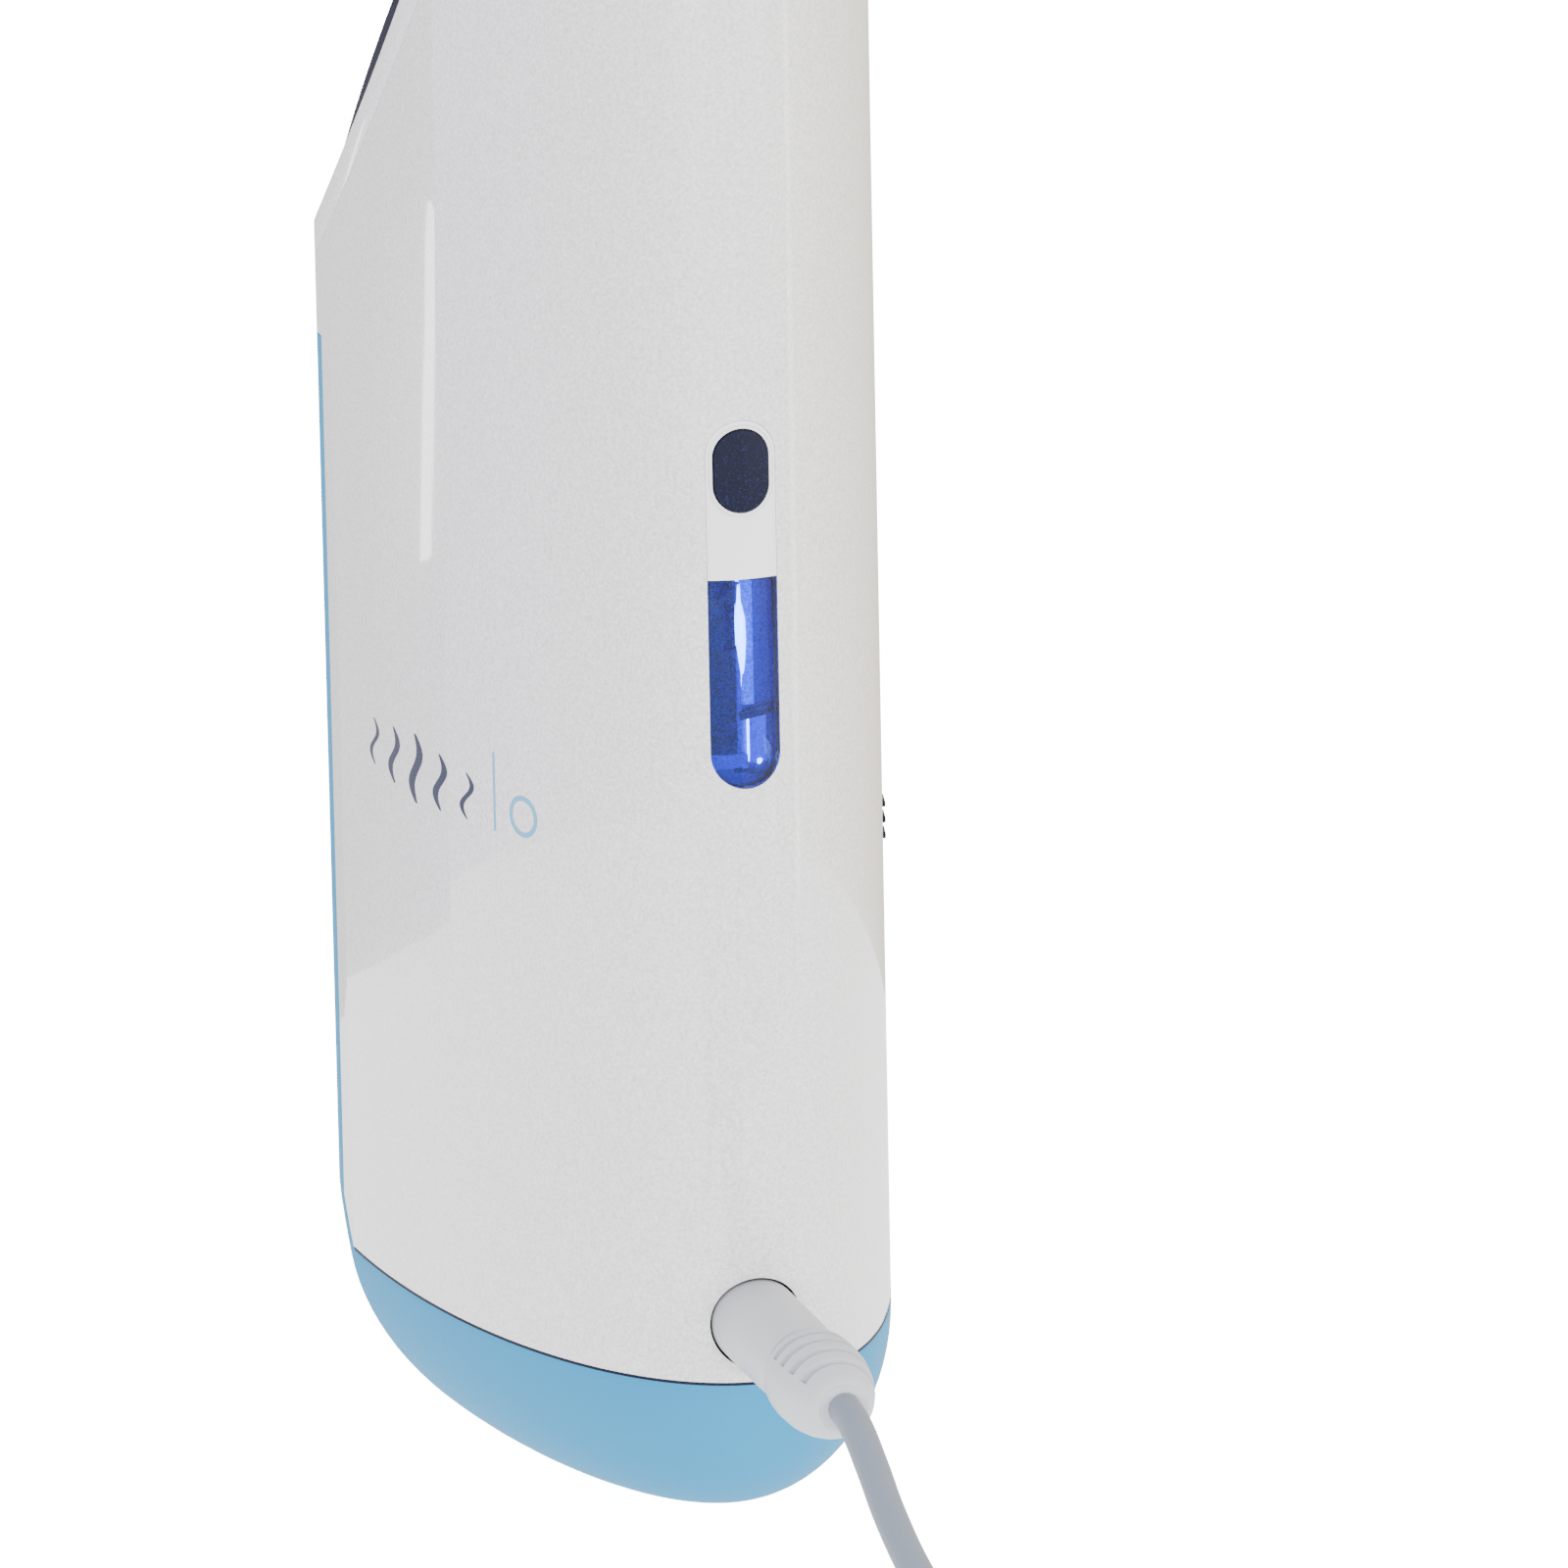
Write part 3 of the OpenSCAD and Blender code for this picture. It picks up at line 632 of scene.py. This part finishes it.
def gloss_only(piece, left, right, glow):
    """Gives a staged surface its look and hides it from everything but gloss."""
    look = Finish(piece.name, emission_strength=glow)
    colour = look.mix(look.ramp(look.axis("X"), -SURROUND_R, SURROUND_R), left, right)
    look.set(base_color=colour, emission_color=colour, roughness=0.9)
    piece.data.materials.append(look.material)
    for sense in ("camera", "diffuse", "transmission", "shadow"):
        setattr(piece, "visible_" + sense, False)


def surround():
    """The dimmer room beyond the pale table."""
    bpy.ops.mesh.primitive_cylinder_add(vertices=128, radius=SURROUND_R, depth=1.5, end_fill_type="NOTHING",
                                        location=(0, 0, 0.75))
    piece = apply_place(newest("surround"))
    gloss_only(piece, tone(150, 150, 160), tone(190, 180, 158), 0.75)


def strip_lamp(name, size, place, turn, glow):
    """A narrow upright light, turned about its height by so many degrees."""
    bpy.ops.mesh.primitive_plane_add(size=1, location=place,
                                     rotation=(math.radians(90), 0, math.radians(turn)))
    piece = newest(name)
    piece.scale = (*size, 1)
    gloss_only(apply_place(piece), tone(255, 255, 255), tone(255, 250, 240), glow)


def sky():
    """Soft room light: dimmer overhead than round the horizon."""
    world = bpy.data.worlds.new("studio")
    world.use_nodes = True
    nodes, links = world.node_tree.nodes, world.node_tree.links
    place = nodes.new("ShaderNodeTexCoord")
    split = nodes.new("ShaderNodeSeparateXYZ")
    level = nodes.new("ShaderNodeMapRange")
    for socket, value in ((1, 0.0), (2, 1.0), (3, 2.6), (4, 1.3)):
        level.inputs[socket].default_value = value
    links.new(place.outputs["Generated"], split.inputs[0])
    links.new(split.outputs["Z"], level.inputs[0])
    links.new(level.outputs[0], nodes["Background"].inputs[1])
    nodes["Background"].inputs[0].default_value = (1, 1, 1, 1)
    bpy.context.scene.world = world


def studio():
    sky()
    softbox((1.2, -1.7, 0.5), (0.7, 1.0), 28, (1, 0.975, 0.93))
    softbox((-0.9, -1.9, 0.35), (0.9, 0.6), 26, (0.95, 0.97, 1))
    bpy.ops.mesh.primitive_plane_add(size=14)
    floor = newest("floor")
    paper = Finish("paper", emission_color=(1, 1, 1, 1), emission_strength=15)
    paper.set(base_color=paper.mix(paper.noise(0.02), tone(247, 247, 247), tone(251, 251, 251)),
              roughness=0.9, specular_ior_level=0.1)
    floor.data.materials.append(paper.material)
    floor.visible_diffuse = floor.visible_glossy = floor.visible_transmission = False
    surround()
    strip_lamp("left_strip", (0.009, 0.07), (-0.126, 0.185, 0.124), 26.8, 5)
    strip_lamp("right_strip", (0.02, 0.3), (0.213, -0.112, 0.15), 69, 4)


camera()
studio()

# ---- Cord: 1.46 m of round lead, loose to the coil and on to the adaptor ----

COIL_MID = Vector((-12.3, boot_end / MM - 103))
TAIL_X = 16.5
ADAPTOR_Y = COIL_MID.y - 58
TURN_POINTS = 15


def coil_spots():
    """Points of seven turns in three columns and three layers, clockwise from the feed."""
    radii, levels = (33.6, 28.8, 24.0), (3.4, 8.25, 13.1)
    stays = [(0, 240, 0, 0), (300, 600, 1, 0), (660, 900, 2, 0), (960, 1200, 2, 1), (1260, 1560, 1, 1),
             (1620, 1860, 0, 1), (1920, 2160, 0, 2), (2220, 2520, 1, 2)]
    spots = []
    for angle in range(0, 2520 + 1, 360 // TURN_POINTS):
        for index, (start, stop, column, level) in enumerate(stays):
            if angle <= stop:
                if angle >= start:
                    r, z = radii[column], levels[level]
                else:
                    before = stays[index - 1]
                    part = (angle - before[1]) / (start - before[1])
                    part = part * part * (3 - 2 * part)
                    r = radii[before[2]] + (radii[column] - radii[before[2]]) * part
                    z = levels[before[3]] + (levels[level] - levels[before[3]]) * part
                break
        turn = math.radians(-angle)
        spots.append((COIL_MID.x + r * math.cos(turn), COIL_MID.y + r * math.sin(turn), z))
    return spots


def cord_spots():
    e = boot_end / MM
    start = [(0, e, jack_z / MM), (0, e - 6, 31.9), (0, e - 14, 28.4), (0, e - 24, 23.3), (1, e - 35, 17.6),
             (3.5, e - 46, 11.9), (8, e - 57, 7.1), (13, e - 67, 4.2), (17.5, e - 77, 3.1),
             (20.3, e - 86, 3.2), (21.3, e - 95, 3.4)]
    tail = [(TAIL_X, COIL_MID.y - back, z) for back, z in ((16, 13.1), (27, 12.7), (38, 12.7), (45, 13.3))]
    return start + coil_spots() + tail + [(TAIL_X, ADAPTOR_Y + 8, 14)]


def cord():
    bpy.ops.curve.primitive_bezier_curve_add()
    lead = newest("cord_lead")
    spline = lead.data.splines[0]
    spots = cord_spots()
    spline.bezier_points.add(len(spots) - len(spline.bezier_points))
    for point, spot in zip(spline.bezier_points, spots):
        point.co = Vector(spot) * MM
        point.handle_left_type = point.handle_right_type = "AUTO"
    spline.resolution_u = 6
    lead.data.dimensions = "3D"
    lead.data.bevel_depth = cord_d / 2
    lead.data.bevel_resolution = 5
    lead.data.use_fill_caps = True
    return lead


lead = finish_piece(cord(), "lead", "cord_grey", "cord", "cord", "cord_coil", "cord_tail")

# ---- Shells ----


def front_shell():
    piece = tall_block("shell_front", 0, seam_z + gap)
    cut(piece, tall_block("inside", wall, seam_z - 1 * MM))
    cut(piece, scoop(rim_w + gap))
    cut(piece, box("behind", (-0.1, seam_y, 0), (0.1, 0.1, panel_top + gap)))
    cut(piece, behind_arc(2 * MM))
    strip = pill("strip", strip_w, strip_top - strip_low, -30 * MM, 10 * MM)
    cut(piece, shift(strip, 0, nose_y + 10 * MM, (strip_top + strip_low) / 2))
    cut(piece, rod("bore", plug_r + 0.35 * MM, 0.03, (0, nose_y, jack_z), (math.radians(90), 0, 0), 96))
    cut(piece, to_flank(pill("recess", 16 * MM, 30 * MM, -8 * MM, 8 * MM)))
    soften(piece, 0.25 * MM)
    return finish_piece(piece, "body", "white_shell", "white", "front_shell")


SCREWS = [(-19, 9), (19, 9), (-17, -9), (17, -9)]
FEET = [(-12, 16), (12, 16), (-6, -12), (6, -12)]


def posts(name, spots, r, low, high):
    pieces = [rod(name, r, high - low, (x * MM, y * MM, (low + high) / 2), sides=48) for x, y in spots]
    return join(pieces, name)


def back_shell():
    piece = plan_block("shell_back", base_rings(0) + [(panel_top, 0)])
    cut(piece, stern(0), "INTERSECT")
    ahead = box("ahead", (-0.1, -0.1, seam_z), (0.1, seam_y + gap, 0.24))
    cut(piece, cut(ahead, stern(1.8 * MM), "INTERSECT"))
    inside = plan_block("inside", base_rings(wall) + [(panel_top + 5 * MM, wall)])
    cut(piece, cut(inside, stern(wall), "INTERSECT"))
    bosses = posts("bosses", SCREWS, 4.5 * MM, 0, 10.6 * MM)
    keep = plan_block("keep", base_rings(0.5 * MM) + [(40 * MM, 0.5 * MM)])
    cut(keep, stern(0.5 * MM), "INTERSECT")
    cut(piece, cut(bosses, keep, "INTERSECT"), "UNION")
    cut(piece, posts("pockets", SCREWS, 3 * MM, -5 * MM, 8 * MM))
    cut(piece, posts("holes", SCREWS, 1.7 * MM, -5 * MM, 14 * MM))
    cut(piece, cut(posts("seats", FEET, 5.1 * MM, -5 * MM, 12 * MM), stern(1 * MM)))
    soften(piece, 0.25 * MM)
    return finish_piece(piece, "body", "blue_shell", "blue", "back_shell")


def feet():
    piece = cut(posts("foot_pads", FEET, 5 * MM, 0, 12 * MM), stern(1 * MM))
    soften(piece, 0.4 * MM, 3)
    return finish_piece(piece, "body", "dark_rubber", "rubber", "feet")


def rim():
    piece = tall_block("rim_band", 0, shoulder_z - 30 * MM)
    cut(piece, tall_block("inside", wall, shoulder_z - 31 * MM))
    cut(piece, scoop(0))
    cut(piece, scoop(rim_w), "INTERSECT")
    soften(piece, 0.5 * MM, 3)
    return finish_piece(piece, "body", "white_trim", "white", "rim_ring")


def collar():
    inset = wall + gap
    piece = tall_block("seat_collar", inset, shoulder_z - 40 * MM)
    cut(piece, tall_block("inside", inset + 1.8 * MM, shoulder_z - 41 * MM))
    r, middle = hollow(0.9 * MM)
    cut(piece, rod("scoop", r, 0.13, middle, (0, math.radians(90), 0), 4096))
    cut(piece, scoop(tray_drop + 2 * MM), "INTERSECT")
    soften(piece, 0.4 * MM, 3)
    return finish_piece(piece, "body", "navy_rubber", "navy", "mask_collar")


def seam_line():
    """Painted shade: a dark band in the parting line over the base, standing in for the shade in the gap
    between the shells.
    """
    piece = plan_block("seam_painted_shade", [(seam_z - 0.12 * MM, -0.03 * MM), (seam_z + 0.3 * MM, -0.03 * MM)])
    cut(piece, plan_block("inside", [(seam_z - 1 * MM, 1.6 * MM), (seam_z + 1 * MM, 1.6 * MM)]))
    cut(piece, stern(2.4 * MM), "INTERSECT")
    return finish_piece(piece, "body", "navy_rubber", "navy")


shell = front_shell()
back_shell()
seam_line()
feet()
rim()
collar()

# ---- Front strip: inlay, button and window ----


def strip_skin(name, low, high, thick=wall, proud=0.0):
    piece = plan_block(name, [(low, -proud), (high, -proud)])
    return cut(piece, plan_block("inside", [(low - 1 * MM, thick), (high + 1 * MM, thick)]))


SLIT = 0.07 * MM


def strip_tool(shrink):
    height = strip_top - strip_low - 2 * shrink
    tool = pill("tool", strip_w - 2 * shrink, height, -30 * MM, 10 * MM)
    return shift(tool, 0, nose_y + 10 * MM, (strip_top + strip_low) / 2)


def button_pill(grow):
    tool = pill("pill", button_w + grow, button_h + grow, -30 * MM, 10 * MM)
    return shift(tool, 0, nose_y + 10 * MM, button_mid)


def inlay():
    piece = strip_skin("inlay_plate", window_top + gap, strip_top + 1 * MM)
    cut(piece, strip_tool(SLIT), "INTERSECT")
    cut(piece, button_pill(1.4 * MM))
    soften(piece, 0.06 * MM)
    return finish_piece(piece, "body", "white_trim", "satin", "inlay_panel")


def button_ring():
    piece = strip_skin("button_rim", button_mid - button_h, button_mid + button_h)
    cut(piece, button_pill(1.3 * MM), "INTERSECT")
    cut(piece, button_pill(0.4 * MM))
    soften(piece, 0.15 * MM)
    return finish_piece(piece, "body", "white_trim", "satin", "button_ring")


def button():
    proud = -0.4 * MM
    piece = plan_block("button_cap", [(button_mid - button_h, proud), (button_mid + button_h, proud)])
    cut(piece, box("rear", (-0.05, nose_y + 3 * MM, 0), (0.05, 0.1, 0.3)))
    cut(piece, button_pill(0), "INTERSECT")
    soften(piece, 0.5 * MM, 4)
    return finish_piece(piece, "button", "navy_plastic", "navy", "power_button")


def window():
    piece = strip_skin("window_lens", strip_low - 1 * MM, window_top)
    cut(piece, strip_tool(SLIT), "INTERSECT")
    soften(piece, 0.3 * MM, 3)
    return finish_piece(piece, "body", "blue_window", "window", "tank_window")


# Painted light and shade behind the window: thin pieces in front of the tank that glow, standing in for the
# light, shade and
# reflections seen in the tank, in mm: name, look, depth behind the nose, thickness, lean in degrees, and
# blocks of x low, x high, z low and z high above the window's foot.
TOP = (window_top - strip_low) / MM
SIGHTS = [
    ("sight_back", "painted_glow_deep_blue", 3.5, 0.35, 0, [(-6, 6, 0, TOP)]),
    # Painted shade: a dark sheet on the left of the window, where the tank lies in shade.
    ("sight_painted_shade", "painted_shade_blue", 2.7, 0.5, 0, [(-6, -0.75, 4.9, TOP)]),
    ("sight_band", "painted_glow_bright_blue", 2.7, 0.6, 0, [(-0.7, -0.1, 5.8, TOP), (-6, 0.7, 2.6, 4.7)]),
    ("sight_column", "painted_glow_speckle_blue", 2.6, 0.6, 0, [(0, 1.7, 12, TOP)]),
    ("sight_ledge", "painted_shade_blue", 2.5, 0.7, -9, [(-0.5, 6, 10.2, 11.6)]),
    ("sight_block", "painted_glow_light_blue", 2.6, 0.6, 0, [(0.9, 3.4, 3.4, 10.2)]),
    ("sight_sill", "painted_shade_blue", 2.5, 0.5, 7, [(-1.2, 3.6, 1.9, 2.5)]),
]


# Each sight piece is painted light or shade: a thin glowing block behind the window.
def sight(name, look, inset, thick, lean, spans):
    blocks = []
    for x_low, x_high, z_low, z_high in spans:
        piece = strip_skin(name, strip_low, window_top - 0.2 * MM, (inset + thick) * MM, -inset * MM)
        middle = Vector(((x_low + x_high) / 2, 0, (z_low + z_high) / 2)) * MM
        half = Vector(((x_high - x_low) / 2, 20, (z_high - z_low) / 2)) * MM
        tool = box("span", -half, half)
        tool.rotation_euler = (0, math.radians(lean), 0)
        tool.location = middle + Vector((0, nose_y, strip_low))
        cut(piece, apply_place(tool), "INTERSECT")
        cut(piece, strip_tool(0.2 * MM), "INTERSECT")
        blocks.append(piece)
    piece = join(blocks, name)
    soften(piece, 0.12 * MM, 2)
    return finish_piece(piece, "body", "clear_tank", look)


# A painted highlight: a small turned piece behind the window that glows white.
def painted_glint(name, rings, x, z, lean=0):
    middle = (x * MM, nose_y + 3 * MM, strip_low + z * MM)
    return turned(name, in_metres(rings), 24, middle, (0, math.radians(lean), 0))


def painted_glints():
    """Three painted highlights, glowing pieces that stand in for glints on the tank: a tapered streak, a
    thin edge and a spark.
    """
    streak = painted_glint("sight_painted_glint", [(0, 0.08), (4, 0.4), (9, 0.8), (12, 0.8), (15, 0.4), (17, 0.3)],
                   0.3, 12.6, -2)
    edge = painted_glint("edge", [(0, 0.18), (1, 0.3), (6, 0.3), (6.6, 0.15)], 0.95, 3.6)
    spark = painted_glint("spark", [(0, 0.12), (0.3, 0.4), (0.7, 0.45), (1, 0.1)], 2.3, 3.1)
    piece = smooth(join([streak, edge, spark], "sight_painted_glint"), 60)
    return finish_piece(piece, "body", "clear_tank", "painted_glint")


inlay()
button_ring()
button()
window()
for row in SIGHTS:
    sight(*row)
painted_glints()

# ---- Printed mark on the left flank: generic steam wisps, a bar and a ring ----


def wrap(piece, look):
    """Lays a flat print, drawn in YZ, on the shell and gives it the thickness of ink."""
    modify(piece, "SHRINKWRAP", target=shell, wrap_method="PROJECT", use_project_x=True,
           use_positive_direction=True, use_negative_direction=False)
    modify(piece, "SOLIDIFY", thickness=0.08 * MM, offset=0)
    edit(piece)
    outward()
    done()
    return finish_piece(piece, "body", "navy_plastic" if look == "print_navy" else "blue_shell", look)


def ribbon(name, y, z, width, height, sway):
    """A flat upright ribbon beside the flank, in mm, tapered and waved if it sways."""
    bpy.ops.mesh.primitive_grid_add(x_subdivisions=2, y_subdivisions=24, size=1)
    piece = newest(name)
    for point in piece.data.vertices:
        across, up = point.co.x, point.co.y
        taper = 1 - 0.75 * abs(2 * up) ** 3 if sway else 1
        wave = sway * math.sin(up * 2 * math.pi)
        point.co = Vector((-60, y - across * width * taper - wave, z + up * height)) * MM
    return piece


def print_mark():
    wisps = [ribbon("wisp", 20.5 - 8 * k, 106.2 - 0.35 * k, width, height, 1.5)
             for k, (width, height) in enumerate([(1.3, 7), (1.9, 8.5), (2.3, 10.5), (1.9, 8.5), (1.3, 7)])]
    wrap(join(wisps, "mark_wisps"), "print_navy")
    wrap(ribbon("mark_bar", -18.9, 107, 0.5, 11.8, 0), "print_blue")
    bpy.ops.mesh.primitive_circle_add(vertices=64, radius=3.1 * MM, fill_type="NGON",
                                      rotation=(0, math.radians(90), 0),
                                      location=(-60 * MM, -25.6 * MM, 104.6 * MM))
    ring = apply_place(newest("mark_ring"))
    edit(ring)
    bpy.ops.mesh.select_all(action="SELECT")
    bpy.ops.mesh.inset(thickness=0.75 * MM)
    bpy.ops.mesh.delete(type="FACE")
    done()
    wrap(ring, "print_blue")


print_mark()

# ---- Plug, boot and adaptor ----

TO_NOSE = (math.radians(90), 0, 0)


def plug_body():
    r = plug_r / MM
    end = (nose_y + 4.5 * MM - plug_end) / MM
    rings = [(0, r - 0.6), (0.2, r - 0.25), (0.6, r), (end - 8, r), (end - 5, r - 0.08),
             (end - 2.4, r - 0.3), (end - 1, r - 0.6), (end, r - 0.9)]
    piece = turned("plug_collar", in_metres(rings), 128,
                   (0, nose_y + 4.5 * MM, jack_z), TO_NOSE)
    smooth(piece, 40)
    return finish_piece(piece, "lead", "plug_grey", "grey", "plug_body")


def plug_boot():
    """The boot, with five crescent grooves round its upper right side."""
    r = boot_r / MM
    end = (plug_end - boot_end) / MM
    rings = [(0, r - 1.5), (0.3, r - 1.2), (1.0, r - 1.0), (2.2, r - 0.6), (3.8, r - 0.12), (6, r),
             (end - 11, r - 0.1), (end - 8, r - 0.5), (end - 5.4, r - 1.1), (end - 3.2, r - 1.8),
             (end - 1.6, r - 2.4), (end - 0.7, r - 2.9), (end - 0.2, r - 3.5), (end - 0.2, r - 3.8),
             (end, r - 3.9), (end, r - 4.4)]
    piece = turned("plug_sleeve", in_metres(rings), 128, (0, plug_end, jack_z), TO_NOSE)
    for groove, deep in enumerate((2.1, 1.9, 1.9, 2.2, 2.9)):
        y = plug_end - (2.6 + groove * 3.5) * MM
        ring = rod("groove", boot_r + 3 * MM, 1.6 * MM, (0, y, 0), TO_NOSE, 96)
        cut(ring, rod("core", boot_r - deep * MM, 4 * MM, (0, y, 0), TO_NOSE, 96))
        side = box("side", (-0.02, y - 2 * MM, 0.4 * MM), (0.02, y + 2 * MM, 0.02))
        side.rotation_euler = (0, math.radians(28), 0)
        cut(ring, apply_place(side), "INTERSECT")
        cut(piece, shift(ring, 0, 0, jack_z))
    soften(piece, 0.3 * MM, 3, 50)
    return finish_piece(piece, "lead", "plug_grey", "grey", "plug_boot")


plug = plug_body()
boot = plug_boot()


def tie():
    low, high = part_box("coil_tie")
    piece = box("tie_band", low, high)
    inner = 0.8 * MM
    cut(piece, box("hole", (low[0] + inner, low[1] - 0.01, low[2] + inner),
                   (high[0] - inner, high[1] + 0.01, high[2] - inner)))
    soften(piece, 0.6 * MM, 3)
    return finish_piece(piece, "lead", "dark_plastic", "dark", "coil_tie")


def adaptor_case():
    low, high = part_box("adaptor_case")
    piece = box("adaptor_body", low, high)
    modify(piece, "BEVEL", width=3.6 * MM, segments=6)
    for k in (-1, 0, 1):
        x = (low[0] + high[0]) / 2 + k * 9 * MM
        cut(piece, box("grip", (x - 3 * MM, high[1] - 16 * MM, high[2] - 0.6 * MM),
                       (x + 3 * MM, high[1] - 12 * MM, high[2] + 1 * MM)))
    smooth(piece, 40)
    return finish_piece(piece, "lead", "plug_grey", "grey", "adaptor_case")


def adaptor_cover():
    low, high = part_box("adaptor_cover")
    piece = box("adaptor_lid", low, high)
    soften(piece, 1.2 * MM, 4)
    return finish_piece(piece, "lead", "plug_grey", "grey", "adaptor_cover")


def adaptor_relief():
    low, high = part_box("adaptor_relief")
    middle = [(low[k] + high[k]) / 2 for k in range(3)]
    rings = [(0, 2.9), (0.6, 3.2), (2, 3.3), (2, 2.7), (2.9, 2.7), (2.9, 3.6), (4.4, 3.8), (4.4, 2.9),
             (5.3, 2.9), (5.3, 4.1), (8, 4.6)]
    piece = turned("adaptor_sleeve", in_metres(rings), 64,
                   (middle[0], high[1], middle[2]), TO_NOSE)
    soften(piece, 0.15 * MM)
    return finish_piece(piece, "lead", "plug_grey", "grey", "adaptor_relief")


def adaptor_blades():
    low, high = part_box("adaptor_blades")
    pieces = []
    for x in (low[0], high[0] - 1.5 * MM):
        blade = box("blade", (x, low[1], low[2]), (x + 1.5 * MM, high[1], high[2]))
        middle = (x, low[1] + 3.6 * MM, (low[2] + high[2]) / 2)
        hole = rod("eye", 1.6 * MM, 0.01, middle, (0, math.radians(90), 0))
        pieces.append(cut(blade, hole))
    piece = soften(join(pieces, "adaptor_pins"), 0.3 * MM)
    return finish_piece(piece, "lead", "steel", "steel", "adaptor_blades")


coil_band = tie()
case = adaptor_case()
lid = adaptor_cover()
sleeve = adaptor_relief()
pins = adaptor_blades()

# ---- Slider on the right flank ----


def slider_bezel():
    piece = pill("slider_frame", 15.6 * MM, 29.6 * MM, -6 * MM, -1.6 * MM)
    cut(piece, pill("slot", 4.4 * MM, 20.4 * MM, -8 * MM, 2 * MM))
    soften(to_flank(piece), 0.3 * MM)
    return finish_piece(piece, "body", "blue_shell", "blue", "slider_bezel")


def slider_knob():
    piece = pill("slider_knob", 8 * MM, 11 * MM, -1.25 * MM, 0)
    for k in (-1, 0, 1):
        z = k * 2.4 * MM
        rib = box("rib", (-2.5 * MM, -0.2 * MM, z - 0.4 * MM), (2.5 * MM, 0.6 * MM, z + 0.4 * MM))
        cut(piece, rib, "UNION")
    soften(to_flank(piece), 0.2 * MM)
    return finish_piece(piece, "slider", "navy_plastic", "navy", "mist_slider")


slider_bezel()
slider_knob()

# ---- Mist path at the opening ----


def duct():
    low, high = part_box("mist_duct")
    middle = (low[0] + high[0]) / 2, (low[1] + high[1]) / 2
    r = (high[0] - low[0]) / 2
    top = high[2] + 5 * MM
    piece = rod("steam_duct", r, top - low[2], (*middle, (low[2] + top) / 2), sides=128)
    cut(piece, rod("bore", r - 1.5 * MM, 0.2, (*middle, (low[2] + high[2]) / 2), sides=128))
    cut(piece, scoop(tray_drop - 1 * MM))
    soften(piece, 0.3 * MM)
    return finish_piece(piece, "body", "white_trim", "satin", "mist_duct")


def cap():
    low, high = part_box("tank_cap")
    middle = (low[0] + high[0]) / 2, (low[1] + high[1]) / 2, 0
    r = (high[0] - low[0]) / 2
    top = high[2] - 3 * MM
    rings = [(low[2], r - 3.5 * MM), (top - 3 * MM, r - 3.5 * MM), (top - 3 * MM, r - 0.4 * MM),
             (top - 2.6 * MM, r), (top - 0.8 * MM, r), (top - 0.2 * MM, r - 0.25 * MM), (top, r - 0.9 * MM)]
    piece = turned("fill_cap", rings, 96, middle)
    cut(piece, box("grip", (-1 * MM, middle[1] - r + 1 * MM, top - 1 * MM),
                   (1 * MM, middle[1] + r - 1 * MM, high[2])), "UNION")
    soften(piece, 0.25 * MM, 3)
    return finish_piece(piece, "cap", "blue_shell", "blue", "tank_cap")


duct()
cap()
